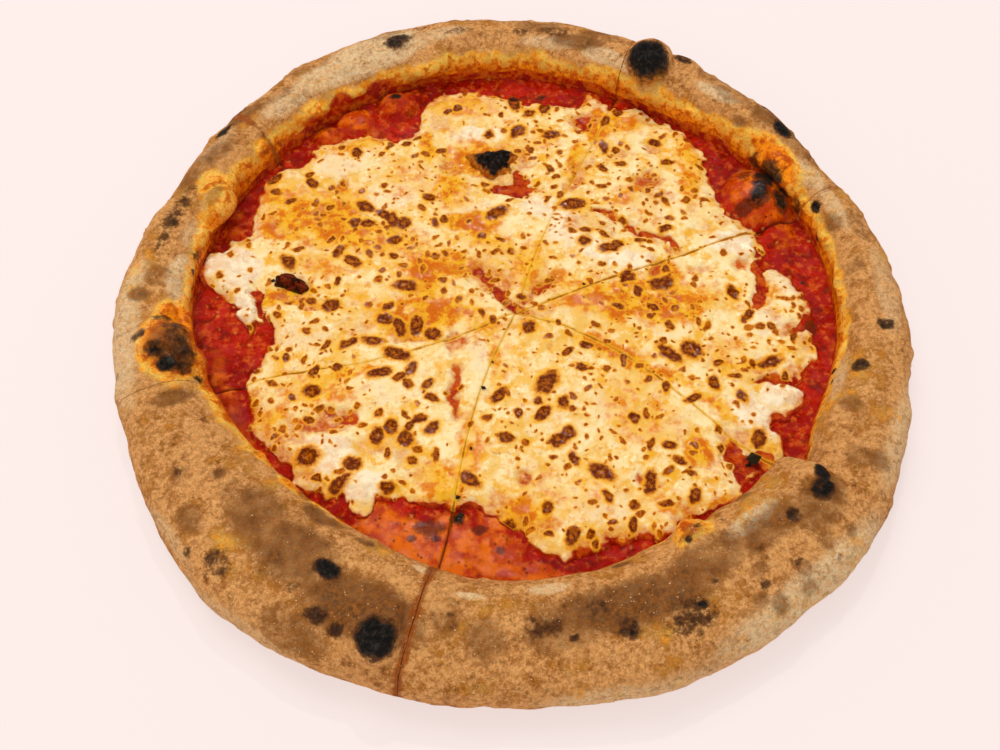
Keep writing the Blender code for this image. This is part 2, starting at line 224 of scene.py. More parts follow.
def step(number, angle):
    """How far this slice's rim is moved by the step across the last cut."""
    near = smooth(1 - np.abs(apart(angle, CUTS[5][1])) / STEP_REACH)
    return near * ((number == 5) - STEP_SHARE * (number == 4))


def toe(number, angle):
    return around(RIM_TOE, angle) + STEP_TOE * step(number, angle)


def rim_section(number, angle, t):
    """Radius and height of the rim's skin before it blisters, t running from toe to foot."""
    inner, outer = toe(number, angle), around(RIM_OUTER, angle)
    height = around(RIM_HEIGHT, angle) - STEP_RISE * step(number, angle)
    turn = np.radians(180 - RIM_SWEEP * t)
    side, rise = np.cos(turn), np.sin(turn)
    inside = side < 0
    across = np.where(inside, RIM_CREST * (1 - np.abs(side) ** INNER_POWER),
                      RIM_CREST + (1 - RIM_CREST) * np.abs(side) ** OUTER_POWER)
    low = np.where(inside, BASE / height, RIM_WAIST)
    over = low + (1 - low) * np.clip(rise, 0, 1) ** CROWN_POWER
    under = low * (1 + rise / math.sin(math.radians(RIM_SWEEP - 180)))
    return inner + (outer - inner) * across, height * np.where(rise >= 0, over, under)


def skin_distance(angle, t, other_angle, other_t):
    """How far a place on the skin lies from another, round the pizza and over the skin, as the blisters go by it."""
    along = np.radians(apart(angle, other_angle)) * (around(RIM_TOE, other_angle) + RIM_SKIN * other_t / 2)
    return along, (t - other_t) * RIM_SKIN


chance = np.random.default_rng(11)
small_blisters = list(zip(chance.uniform(0, 360, SMALL_BLISTERS), chance.uniform(0.06, 0.72, SMALL_BLISTERS),
                          chance.uniform(0, 1, SMALL_BLISTERS) ** 2.2))


def swelling(angle, t):
    """How far the skin is pushed out by its blisters and its unevenness."""
    turn = np.radians(angle)
    out = sum(height * np.sin(waves * turn + change * t + start) for height, waves, change, start in RIPPLES)
    for blister, place, half, height, slope in BLISTERS:
        along, over = skin_distance(angle, t, blister, place)
        out = out + height * np.clip(1 - (along**2 + over**2) / half**2, 0, 1) ** (0.7 * slope)
    for fold, place, half, height, slope in FOLDS:
        along, over = skin_distance(angle, t, fold, place)
        out = out + height * np.clip(1 - (along**2 + over**2) / half**2, 0, 1) ** slope
    return out


def skin_relief(points, angle, t):
    """The finer lumps and small blisters that break up the skin."""
    out = sum(height * lumps(points, size, 40 + k) for k, (size, height) in enumerate(SKIN_LUMPS))
    small, large = SMALL_BLISTER_SIZE
    for blister, place, share in small_blisters:
        half = small + (large - small) * share
        near = np.abs(apart(angle, blister)) < math.degrees(half / 110)
        along, over = skin_distance(angle[near], t[near], blister, place)
        rise = np.clip(1 - (along**2 + over**2) / half**2, 0, 1) ** 1.5
        out[near] += SMALL_BLISTER_RISE * half * rise
    return out


def ring_point(radius, angle, height):
    turn = np.radians(angle)
    return np.stack([radius * np.cos(turn), radius * np.sin(turn), height], 1)


def rim_point(number, angle, t):
    """The finished skin: its section, pushed out square to itself by blisters and lumps."""
    radius, height = rim_section(number, angle, t)
    ahead, behind = (rim_section(number, angle, np.clip(t + d, 0, 1)) for d in (0.02, -0.02))
    along, up = ahead[0] - behind[0], ahead[1] - behind[1]
    brim, foot = smooth((t - RIM_BRIM) / 0.1), smooth((1 - t) / 0.2)
    push = swelling(angle, t) * brim * foot
    push += skin_relief(ring_point(radius, angle, height), angle, t) * (0.35 + 0.65 * brim) * foot
    push /= np.hypot(along, up)
    return radius - up * push, height + along * push


def across_slice(number, share, radius_at, gap):
    """Angle and radius of points that share a slice's width between its two cuts."""
    start, end = CUTS[number][1], CUTS[(number + 1) % 6][1]
    angle = start + share * ((end - start) % 360)
    for _ in range(5):
        radius = np.maximum(radius_at(angle), gap)
        start, end = cut_angle(number, radius), cut_angle(number + 1, radius)
        side = np.degrees(np.arcsin(gap / 2 / radius))
        angle = start + side + share * ((end - start) % 360 - 2 * side)
    return angle, radius


def off_cut(number, angle, radius):
    """Distance to the nearer of a slice's cuts, and which cut that is."""
    first = radius * np.sin(np.radians(apart(angle, cut_angle(number, radius))))
    last = radius * np.sin(np.radians(apart(cut_angle(number + 1, radius), angle)))
    return np.minimum(first, last), np.where(first < last, number, (number + 1) % 6)


def weave(counts, level):
    """Faces of a closed slice and how many of them are its top. Its rows of corners run outwards from its point,

    over the top, to the edge of its flat underside. Rows before the level lie over the underside, and each
    of their ends has a corner below it. The cut sides come last.
    """
    start = np.concatenate([[0], np.cumsum(np.array(counts) + 1)])
    top = []
    for row, (inner, outer) in enumerate(zip(counts, counts[1:])):
        i, j = np.arange(inner), np.arange(outer)
        if inner:
            k = -(-(i + 1) * outer // inner) - 1
            top.append(np.stack([start[row] + i, start[row + 1] + k, start[row] + i + 1], 1))
        k = (j + 1) * inner // outer
        top.append(np.stack([start[row] + k, start[row + 1] + j, start[row + 1] + j + 1], 1))
    below = start[-1] + np.maximum(np.arange(2 * level).reshape(level, 2) - 1, 0)
    first, last = start[:-1], start[1:] - 1
    under = np.concatenate([below[1:, 0], np.arange(first[-1], last[-1] + 1), below[:0:-1, 1]])
    faces = top + [np.stack([np.full(len(under) - 1, below[0, 0]), under[1:], under[:-1]], 1)]
    for end, floor, side in ((first, below[:, 0], -1), (last, below[:, 1], 1)):
        upper, fan = end[:level], end[level - 1:]
        faces.append(np.stack([upper[:-1], upper[1:], floor[1:]], 1)[:, ::side])
        faces.append(np.stack([upper[:-1], floor[1:], floor[:-1]], 1)[:, ::side])
        faces.append(np.stack([np.full(len(fan) - 1, floor[-1]), fan[:-1], fan[1:]], 1)[:, ::side])
    return np.concatenate(faces), sum(map(len, top))


def ends_below(counts, level):
    """Corners that the corners under a slice's cut sides stand below."""
    start = np.concatenate([[0], np.cumsum(np.array(counts) + 1)])
    return np.stack([start[:level], start[1:level + 1] - 1], 1).ravel()[1:]


MIDDLE_TURN = np.arange(0, 360, 0.25)
outline = ring_point(around(RIM_OUTER, MIDDLE_TURN), MIDDLE_TURN, 0 * MIDDLE_TURN)
MIDDLE = (outline.max(0) + outline.min(0)) / 2      # of the rim's outline, which is the frame's origin
BOX_LOW, BOX_HIGH = (np.array(corner) / MM for corner in cad_box)


def mesh_piece(name, points, faces, finish, marks=None, sharp=60):
    """A smooth mesh in the frame, kept inside the solids' box, with its marks as attributes for its finish."""
    points = np.clip(points - MIDDLE, BOX_LOW, BOX_HIGH) * MM
    mesh = bpy.data.meshes.new(name)
    mesh.vertices.add(len(points))
    mesh.vertices.foreach_set("co", points.astype(np.float32).ravel())
    mesh.loops.add(3 * len(faces))
    mesh.loops.foreach_set("vertex_index", faces.astype(np.int32).ravel())
    mesh.polygons.add(len(faces))
    mesh.polygons.foreach_set("loop_start", np.arange(0, 3 * len(faces), 3, dtype=np.int32))
    mesh.update(calc_edges=True)
    mesh.shade_smooth()
    mesh.set_sharp_from_angle(angle=math.radians(sharp))
    for mark, values in (marks or {}).items():
        mesh.attributes.new(mark, "FLOAT", "POINT").data.foreach_set("value", values.astype(np.float32))
    mesh.materials.append(finish)
    piece = bpy.data.objects.new(name, mesh)
    bpy.context.collection.objects.link(piece)
    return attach(piece, "root")


def slice_piece(name, counts, level, points, floor, marks, finish, inside):
    """A closed slice of dough, sauce or cheese whose cut sides show what it is like inside."""
    ends = ends_below(counts, level)
    below = points[ends] * (1, 1, 0) + (0, 0, floor)
    marks = {key: np.concatenate([values, values[ends]]) for key, values in marks.items()}
    faces, top = weave(counts, level)
    piece = mesh_piece(name, np.concatenate([points, below]), faces, finish, marks)
    piece.data.materials.append(inside)
    sides = np.arange(len(faces)) >= top + counts[-1] + 2 * level - 2
    piece.data.polygons.foreach_set("material_index", sides.astype(np.int32))
    return piece


class Finish:
    """A surface put together from procedural nodes. Sizes of its grain are millimetres."""

    def __init__(self, name):
        self.material = bpy.data.materials.new(name)
        self.material.use_nodes = True
        self.tree = self.material.node_tree
        self.shader = self.tree.nodes["Principled BSDF"]
        place = self.node("ShaderNodeTexCoord")
        scale = self.node("ShaderNodeVectorMath", operation="SCALE")
        self.tree.links.new(place.outputs["Object"], scale.inputs[0])
        scale.inputs["Scale"].default_value = 1 / MM
        self.place = scale.outputs[0]

    def node(self, kind, **settings):
        made = self.tree.nodes.new(kind)
        for key, value in settings.items():
            setattr(made, key, value)
        return made

    def put(self, socket, value):
        if isinstance(value, bpy.types.NodeSocket):
            self.tree.links.new(value, socket)
        elif isinstance(value, tuple):
            socket.default_value = (*value, 1) if socket.type == "RGBA" else value
        else:
            socket.default_value = value

    def mark(self, name):
        return self.node("ShaderNodeAttribute", attribute_name=name).outputs["Fac"]

    def sum(self, first, second, operation="ADD"):
        made = self.node("ShaderNodeMath", operation=operation)
        self.put(made.inputs[0], first)
        self.put(made.inputs[1], second)
        return made.outputs[0]

    def times(self, first, second):
        return self.sum(first, second, "MULTIPLY")

    def rise(self, value, low, high, start=0.0, end=1.0):
        """A smooth rise from start to end while the value goes from low to high."""
        made = self.node("ShaderNodeMapRange", interpolation_type="SMOOTHSTEP")
        for socket, put in zip(made.inputs, (value, low, high, start, end)):
            self.put(socket, put)
        return made.outputs[0]

    def grain(self, size, detail=3.0, roughness=0.55, stretch=None):
        """Cloudy grain from 0 to 1 with patches of about the size."""
        made = self.node("ShaderNodeTexNoise")
        place = self.place
        if stretch:
            shaped = self.node("ShaderNodeVectorMath", operation="MULTIPLY")
            self.put(shaped.inputs[0], place)
            shaped.inputs[1].default_value = stretch
            place = shaped.outputs[0]
        self.put(made.inputs["Vector"], place)
        for key, value in (("Scale", 0.5 / size), ("Detail", detail), ("Roughness", roughness)):
            made.inputs[key].default_value = value
        return made.outputs["Fac"]

    def cells(self, size, feature="F1"):
        """Distance from the nearest of points scattered about the size apart, and a value for each point."""
        made = self.node("ShaderNodeTexVoronoi", feature=feature)
        self.put(made.inputs["Vector"], self.place)
        made.inputs["Scale"].default_value = 1 / size
        return made.outputs["Distance"], made.outputs["Color"] if "Color" in made.outputs else None

    def blend(self, share, first, second, kind="MIX"):
        made = self.node("ShaderNodeMix", data_type="RGBA", blend_type=kind)
        for socket in made.inputs:
            value = {"Factor_Float": share, "A_Color": first, "B_Color": second}.get(socket.identifier)
            if value is not None:
                self.put(socket, value)
        return next(out for out in made.outputs if out.identifier == "Result_Color")

    def grey(self, value):
        made = self.node("ShaderNodeCombineColor")
        for socket in made.inputs:
            self.put(socket, value)
        return made.outputs[0]

    def bump(self, height, depth, under=None, strength=1.0):
        """A normal that shows the height as relief of that depth."""
        made = self.node("ShaderNodeBump")
        self.put(made.inputs["Strength"], strength)
        made.inputs["Distance"].default_value = depth * MM
        self.put(made.inputs["Height"], height)
        if under is not None:
            self.put(made.inputs["Normal"], under)
        return made.outputs[0]


def baked_crust():
    """Matt dough, tan with brown mottling, black where it burnt, shiny and yellow where oil ran over it."""
    finish = Finish("baked_crust")
    broad, blotch = finish.grain(10, 2, 0.5), finish.grain(3.6, 6, 0.7)
    grit, fine = finish.grain(0.9, 5, 0.72), finish.grain(0.42, 3, 0.7)
    wander = finish.sum(finish.sum(finish.times(broad, 0.4), finish.times(blotch, 0.6)), 0.5, "SUBTRACT")
    speck = finish.rise(finish.grain(1.5, 6, 0.75), 0.52, 0.6)
    tan = finish.blend(finish.rise(grit, 0.36, 0.66), (0.95, 0.46, 0.15), (0.76, 0.31, 0.075))
    brown = finish.blend(finish.rise(grit, 0.36, 0.66), (0.66, 0.24, 0.050), (0.38, 0.12, 0.021))
    colour = finish.blend(finish.rise(finish.sum(blotch, finish.times(broad, 0.4)), 0.62, 0.84), tan, brown)
    # Pale patches: crust that browned less, and painted light over the far rim's top
    pale = finish.rise(finish.sum(finish.mark("pale"), wander), 0.2, 0.8)
    cream = finish.blend(finish.rise(grit, 0.4, 0.66), (1.0, 0.70, 0.38), (0.95, 0.52, 0.205))
    colour = finish.blend(finish.times(pale, 0.95), colour, cream)
    colour = finish.blend(finish.times(speck, 0.42), colour, (0.32, 0.095, 0.020))
    soak = finish.sum(finish.mark("soak"), finish.times(wander, 1.5))
    streak = finish.rise(finish.grain(1.8, 5, 0.7), 0.42, 0.6)
    yellow = finish.blend(streak, (1.0, 0.60, 0.085), (0.95, 0.34, 0.010))
    amber = finish.blend(streak, (1.0, 0.29, 0.004), (0.55, 0.075, 0.001))
    wet = finish.rise(soak, 0.0, 0.3)
    colour = finish.blend(finish.times(wet, 0.92), colour, yellow)
    colour = finish.blend(finish.rise(soak, 0.24, 0.68), colour, amber)
    red = finish.rise(finish.sum(finish.mark("red"), finish.times(wander, 1.6)), 0.3, 0.7)
    tomato = finish.blend(streak, (0.40, 0.010, 0.001), (0.70, 0.12, 0.006))
    colour = finish.blend(red, colour, tomato)
    scorch = finish.rise(finish.sum(finish.mark("scorch"), finish.times(wander, 1.9)), 0.1, 0.95)
    toast = finish.blend(finish.rise(grit, 0.36, 0.62), (0.075, 0.017, 0.003), (0.34, 0.11, 0.02))
    colour = finish.blend(finish.times(scorch, 0.85), colour, toast)
    cut = finish.rise(finish.sum(finish.mark("cut"), finish.times(wander, 2.6)), 0.3, 1.0)
    colour = finish.blend(finish.times(cut, 0.9), colour, (0.40, 0.075, 0.002))
    patchy = finish.sum(finish.sum(blotch, finish.grain(1.3, 5, 0.7)), 1.0, "SUBTRACT")
    burn = finish.sum(finish.mark("burn"), finish.times(patchy, 1.5))
    sear = finish.blend(finish.rise(grit, 0.4, 0.62), (0.035, 0.010, 0.003), (0.14, 0.045, 0.012))
    colour = finish.blend(finish.times(finish.rise(burn, 0.12, 0.62), 0.92), colour, sear)
    black = finish.rise(burn, 0.62, 0.92)
    ash = finish.blend(finish.rise(grit, 0.45, 0.7), (0.010, 0.008, 0.006), (0.055, 0.040, 0.030))
    colour = finish.blend(black, colour, ash)
    shade = finish.rise(fine, 0.3, 0.7, 0.84, 1.12)
    colour = finish.blend(1.0, colour, finish.grey(shade), "MULTIPLY")
    under = finish.mark("under")
    leopard = finish.rise(finish.grain(7, 4, 0.6), 0.5, 0.62)
    sole = finish.blend(leopard, (0.80, 0.50, 0.24), (0.10, 0.035, 0.010))
    colour = finish.blend(under, colour, sole)
    finish.put(finish.shader.inputs["Base Color"], colour)
    gloss = finish.times(finish.sum(wet, red, "MAXIMUM"), finish.rise(blotch, 0.42, 0.5, 0.5, 1.0))
    char = finish.times(black, 0.5)
    finish.put(finish.shader.inputs["Roughness"], finish.rise(finish.sum(gloss, char, "MAXIMUM"), 0.2, 1.0, 0.9, 0.2))
    relief = finish.bump(grit, 0.9, None, finish.rise(gloss, 0.3, 0.9, 1.0, 0.1))
    relief = finish.bump(blotch, 1.6, relief, finish.rise(gloss, 0.3, 0.9, 1.0, 0.5))
    finish.put(finish.shader.inputs["Normal"], relief)
    finish.shader.inputs["Specular IOR Level"].default_value = 0.25
    return finish.material


def skin_mark(number, points, angle, places):
    """How deeply a kind of mark colours the skin, half way down at the mark's edge."""
    depth = np.zeros(len(angle))
    radius = np.hypot(points[:, 0], points[:, 1])
    for mark, place, long, wide, strength in places:
        middle, height = (value[0] for value in rim_point(number, np.array([mark]), np.array([place])))
        along = np.radians(apart(angle, mark)) * middle
        over = np.hypot(radius - middle, points[:, 2] - height)
        depth = np.maximum(depth, strength * smooth(1.5 - np.hypot(along / long, over / wide)))
    return depth


def crumb_of_dough():
    """The pale, open inside of the rim, darker in its holes as painted shade, with a thin browned skin round it."""
    finish = Finish("crumb_of_dough")
    near, _ = finish.cells(3.2)
    shaded_holes = finish.rise(finish.sum(near, finish.grain(1.5)), 0.75, 1.1)
    # Darker where the holes are: painted shade in the hollows of the crumb
    colour = finish.blend(shaded_holes, (0.86, 0.62, 0.34), (0.62, 0.32, 0.11))
    finish.put(finish.shader.inputs["Base Color"], finish.blend(finish.grain(0.8), colour, (0.70, 0.36, 0.12)))
    finish.put(finish.shader.inputs["Roughness"], 0.7)
    finish.put(finish.shader.inputs["Normal"], finish.bump(shaded_holes, -1.2))
    return finish.material


def make_dough(number, finish, inside):
    start, end = CUTS[number][1], CUTS[(number + 1) % 6][1]
    span = math.radians((end - start) % 360)
    base_rows = (30, 60, 85, 105)
    skin_rows = np.linspace(RIM_BRIM, 0.86, round(0.82 * RIM_SKIN / SKIN_STEP))
    foot_rows = np.linspace(0.86, 1, round(0.14 * RIM_SKIN / FOOT_STEP))[1:]
    place = np.concatenate([np.linspace(0, RIM_BRIM, 5)[:-1], skin_rows, foot_rows])
    counts = [0] + [round(span * radius / 4) for radius in base_rows]
    counts += [round(span * 140 / (SKIN_STEP if t < 0.86 else FOOT_STEP)) for t in place]
    share = np.concatenate([np.linspace(0, 1, count + 1) if count else [0.5] for count in counts])
    row = np.repeat(np.arange(len(counts)), np.array(counts) + 1)
    inner = row < len(base_rows) + 1
    t = np.where(inner, 0, place[np.maximum(row - len(base_rows) - 1, 0)])
    flat = np.array([DOUGH_GAP, *base_rows])[np.minimum(row, len(base_rows))]
    angle, radius = across_slice(number, share, lambda a: np.where(inner, flat, rim_section(number, a, t)[0]), DOUGH_GAP)
    skin_radius, height = rim_point(number, angle, t)
    radius, height = np.where(inner, radius, skin_radius), np.where(inner, BASE, height)
    points = ring_point(radius, angle, height)
    away, which = off_cut(number, angle, radius)
    looks = {"burn": BURNT, "scorch": SCORCHED, "soak": OILY, "red": SAUCED, "pale": PALE_CRUST_AND_PAINTED_LIGHT}
    marks = {look: skin_mark(number, points, angle, places) for look, places in looks.items()}
    ragged = 0.03 * lumps(points, 9, 50) + 0.02 * lumps(points, 4, 51)
    oil, sauce = around(OIL_REACH, angle) + ragged, around(SAUCE_REACH, angle) + ragged / 2
    marks["soak"] = np.maximum(marks["soak"], np.clip((oil - t) / np.maximum(oil, 0.05), -1, 1))
    marks["red"] = np.maximum(marks["red"], smooth((sauce - t) / 0.05 + 0.5))
    marks["under"], marks["cut"] = smooth((t - 0.97) / 0.03), np.array(CUT_STAIN)[which] * smooth(1 - away / 4)
    piece = slice_piece(f"dough_{number + 1}", counts, len(base_rows) + 2, points, 0, marks, finish, inside)
    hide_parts(f"dough_slice_{number + 1}")


crust, crumb = baked_crust(), crumb_of_dough()
for slice_number in range(6):
    make_dough(slice_number, crust, crumb)

# =====================================================================================================
# Sauce. Crushed tomatoes spooned over the dough and spread with the ladle, boiled down in the oven. It
# laps up against the rim, shines where it is wet and turns orange where the cheese's oil has run into it.
# =====================================================================================================
SAUCE_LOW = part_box("sauce_slice_1")[0].z / MM
SAUCE_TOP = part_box("sauce_slice_1")[1].z / MM
SAUCE_LAP = 2.6                                     # how far it runs in under the rim's skin
SAUCE_STEP = 0.85 * COARSE
SAUCE_PULP = ((9, 0.5), (4.2, 0.6), (2.0, 0.42), (1.1, 0.14))
SAUCE_GAP = 0.3
# Bubbles of dough under it against the rim: middle, half width, height
SAUCE_DOMES = ((-57, 117, 9.5, 5.5), (-75, 106, 9.5, 5), (-87, 97, 7, 4), (-66, 100, 6, 2.5), (-48, 124, 6, 3),
               (105, 65, 17, 9.5), (92, 58, 7, 2.5), (112, 46, 7, 3), (117, -2, 6, 3), (-119, 40, 6, 3), (-112, -40, 6, 2))

# Patches, here and for the cheese: middle, half length, half width, turn, strength
SAUCE_OIL = (
    (-36, -103, 20, 9, -18, 1.3), (-22, -99, 9, 9, 0, 1.0), (-48, -93, 9, 6, -35, 0.9), (-8, -106, 12, 9, 0, 0.65),
    (4, -113, 14, 5, 0, 0.75), (-6, -92, 8, 4, 0, 0.7), (96, -62, 8, 6, 40, 0.35), (-104, -62, 5, 14, 30, 0.5),
    (26, 98, 7, 10, 0, 0.4), (-122, 42, 5, 12, 0, 0.35), (-57, 118, 9, 8, 0, 0.5), (-76, 106, 8, 7, 0, 0.75),
    (-88, 97, 7, 6, 0, 0.6), (-66, 96, 6, 6, 0, 0.5), (106, 66, 15, 16, 0, 0.95), (114, 44, 6, 9, 0, 0.5),
    (116, -4, 5, 14, 0, 0.4), (-110, -48, 5, 12, 15, 0.55), (-118, -28, 4, 10, 10, 0.5),
)
# Browned and burnt places in it
SAUCE_BURNT = (
    (-58, 119.5, 2.8, 2.0, 0, 1), (107, 70, 8, 5, 70, .95), (104, 61, 7, 4, 60, .85), (113, 60, 4, 6, 0, .8), (98, 56, 5, 3, 30, .6),
    (99, 74, 4, 5, 0, .45), (111, 78, 4, 4, 0, .4),
    (-3, 124, 3.4, 1.4, 10, .8), (10, 126, 2.4, 1.2, 10, .7), (-20, -92, 2.6, 2.4, 0, .9), (-30, -96, 6, 4, 0, .55),
    (-12, -96, 3, 2, 0, .6), (-4, -104, 2, 1.6, 0, .6), (119, -4, 3, 4, 0, .5), (88, -66, 2.4, 2.4, 0, 1),
    (-36, -100, 2, 1.5, 0, .7), (-27, -100, 2, 1.5, 0, .7),
)


def patches(x, y, places, soften=0.5):
    """How deep a place lies in soft-edged oval patches, half way down at their edges."""
    depth = np.zeros(len(x))
    for middle_x, middle_y, long, wide, turn, strength in places:
        side, up = math.cos(math.radians(turn)), math.sin(math.radians(turn))
        along, across = (x - middle_x) * side + (y - middle_y) * up, (y - middle_y) * side - (x - middle_x) * up
        far = np.hypot(along / long, across / wide)
        depth = np.maximum(depth, strength * smooth((1 + soften - far) / (2 * soften)))
    return depth


def wet_sauce():
    """Deep red pulp, glossy, lighter and more orange where oil has gathered."""
    finish = Finish("wet_sauce")
    broad, pulp, fine = finish.grain(6, 3, 0.6), finish.grain(1.7, 5, 0.68), finish.grain(0.7, 4, 0.65)
    colour = finish.blend(finish.rise(broad, 0.36, 0.62), (0.36, 0.003, 0.0003), (0.56, 0.013, 0.0006))
    colour = finish.blend(finish.times(finish.rise(pulp, 0.5, 0.66), 0.85), colour, (0.78, 0.12, 0.008))
    dark = finish.rise(finish.grain(3, 5, 0.7), 0.48, 0.62)
    colour = finish.blend(finish.times(dark, 0.8), colour, (0.17, 0.0015, 0.0001))
    wander = finish.sum(finish.grain(3.4, 5, 0.68), 0.5, "SUBTRACT")
    oil = finish.rise(finish.sum(finish.mark("oil"), finish.times(wander, 1.4)), 0.15, 0.75)
    amber = finish.blend(finish.rise(finish.grain(5, 4, 0.65), 0.42, 0.58), (0.80, 0.15, 0.0003), (0.50, 0.040, 0.0003))
    colour = finish.blend(oil, colour, amber)
    near, _ = finish.cells(2.6)
    fleck = finish.times(finish.rise(near, 0.3, 0.12), finish.rise(pulp, 0.42, 0.52))
    colour = finish.blend(finish.times(finish.times(fleck, oil), 0.85), colour, (0.10, 0.010, 0.001))
    shred, _ = finish.cells(4.1)
    cream = finish.times(finish.rise(finish.sum(shred, finish.times(fine, 0.5)), 0.52, 0.38), finish.rise(broad, 0.5, 0.6))
    colour = finish.blend(finish.times(cream, finish.rise(oil, 0.2, 0.7, 0.6, 0.0)), colour, (0.80, 0.30, 0.05))
    burn = finish.sum(finish.mark("burn"), finish.times(finish.sum(pulp, 0.5, "SUBTRACT"), 1.5))
    colour = finish.blend(finish.times(finish.rise(burn, 0.15, 0.5), 0.85), colour, (0.13, 0.017, 0.002))
    colour = finish.blend(finish.rise(burn, 0.6, 0.85), colour, (0.016, 0.010, 0.006))
    # Darker along the cuts: painted shade in the groove that the wheel left between the slices
    cut = finish.rise(finish.mark("cut"), 0.2, 0.9)
    colour = finish.blend(finish.times(cut, 0.6), colour, (0.12, 0.010, 0.001))
    finish.put(finish.shader.inputs["Base Color"], colour)
    gloss = finish.rise(finish.grain(3), 0.45, 0.465)
    finish.put(finish.shader.inputs["Roughness"], finish.rise(gloss, 0.0, 1.0, 0.9, 0.15))
    relief = finish.bump(fine, 0.3, None, finish.rise(gloss, 0.2, 0.8, 1.0, 0.0))
    relief = finish.bump(pulp, 1.5, relief, finish.rise(oil, 0.4, 0.9, 1.0, 0.35))
    finish.put(finish.shader.inputs["Normal"], relief)
    finish.shader.inputs["Specular IOR Level"].default_value = 0.4
    return finish.material


def make_sauce(number, finish):
    start, end = CUTS[number][1], CUTS[(number + 1) % 6][1]
    span = math.radians((end - start) % 360)
    reach = np.linspace(0, 1, round(125 / SAUCE_STEP))[1:]
    counts = [0] + [max(2, round(span * 125 * part / SAUCE_STEP)) for part in reach]
    counts.append(counts[-1])
    share = np.concatenate([np.linspace(0, 1, count + 1) if count else [0.5] for count in counts])
    row = np.repeat(np.arange(len(counts)), np.array(counts) + 1)
    part = np.array([0, *reach, 1])[row]
    angle, radius = across_slice(number, share, lambda a: part * (toe(number, a) + SAUCE_LAP), SAUCE_GAP)
    points = ring_point(radius, angle, np.full(len(row), SAUCE_TOP))
    away, _ = off_cut(number, angle, radius)
    oil = patches(points[:, 0], points[:, 1], SAUCE_OIL)
    relief = sum(height * lumps(points, size, 60 + k) for k, (size, height) in enumerate(SAUCE_PULP))
    points[:, 2] += relief * (1 - 0.75 * smooth(oil * 2 - 1)) - 0.5 * smooth(1 - away / 1.2)
    for dome_x, dome_y, half, height in SAUCE_DOMES:
        far = np.hypot(points[:, 0] - dome_x, points[:, 1] - dome_y) / half
        points[:, 2] += height * np.clip(1 - far**2, 0, 1) ** 0.8
    points[row == len(counts) - 1, 2] = SAUCE_LOW
    burn = patches(points[:, 0], points[:, 1], SAUCE_BURNT)
    marks = {"oil": oil, "burn": burn, "cut": smooth(1 - away / 1.5)}
    piece = slice_piece(f"sauce_{number + 1}", counts, len(counts) - 1, points, SAUCE_LOW, marks, finish, finish)
    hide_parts(f"sauce_slice_{number + 1}")


sauce = wet_sauce()
for slice_number in range(6):
    make_sauce(slice_number, sauce)

# =====================================================================================================
# Cheese. Torn fresh mozzarella laid over the sauce, melted together into one uneven sheet, which lets
# the sauce show where it stayed thin. Its highest spots have browned and its oil has run out yellow.
# =====================================================================================================
CHEESE_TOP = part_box("cheese_slice_1")[0].z / MM + 2.6
CHEESE_FLOOR = SAUCE_LOW + 0.2
CHEESE_STEP = 0.52 * COARSE
# Where it ends, one value every 5 degrees
CHEESE_EDGE = (120, 121, 118, 110, 111, 111, 109, 111, 113, 119, 127, 128, 128, 128, 127, 127, 119, 122,
               122, 125, 128, 130, 129, 114, 112, 122, 125, 127, 125, 132, 131, 127, 122, 127, 134, 129,
               112, 102, 102, 105, 113, 113, 116, 116, 113, 113, 111, 106, 100, 96, 94, 93, 90, 91,
               96, 103, 108, 109, 109, 111, 114, 113, 115, 116, 116, 119, 114, 113, 117, 116, 119, 121)
CHEESE_SPARE = 7                                    # mesh outside that edge, for its lobes
CHEESE_LIP = (0.9, 8)                               # widths of its thin edge and of the slope up from that
CHEESE_LOBES = ((9, 2.2), (4, 1.8), (1.9, 1.1))
CHEESE_RELIEF = ((22, 0.45), (9, 0.45), (4.5, 0.32), (2.2, 0.17), (1.1, 0.07))
CHEESE_GAP = 0.1                                    # left by the wheel, which the melt has nearly closed
# How plainly each cut shows, in the depth of its groove and in its oil and painted shade
CUT_SHOW = (0.9, 0.45, 0.2, 0.75, 0.7, 0.7)         # how plainly each cut shows

# Where it reaches further over the sauce: middle, half length, half width, turn
LOBES = (
    (-119, 19, 15, 11, -10), (-110, -2, 5, 12, 5), (-126, 20, 8, 8, 0), (-55, -85, 5, 8.5, -25),
    (107, -37, 6, 7, 0), (98, -60, 5, 10, 0), (33, 121, 5, 6, 0),
)
# Where there is no cheese over the sauce
BARE = (
    (-3, 66, 12, 4, -8), (0, 73, 2.8, 6, 0), (85, -67, 4.5, 11, 8), (91, -67, 6, 4.5, 20),
    (101, 17, 13, 2.6, 76), (104, 28, 5, 5, 0), (114, -6, 5, 1.2, 12), (102, -30, 9, 1.3, -4),
    (-105.5, 2, 1.8, 7, 15), (-102, -10, 2.2, 8, 0), (-118, 64, 3.5, 18, -18), (77, 99, 1.6, 6, 15),
    (101, 35, 1.6, 2.6, 0), (28, 108, 3.5, 3.5, 0),
)
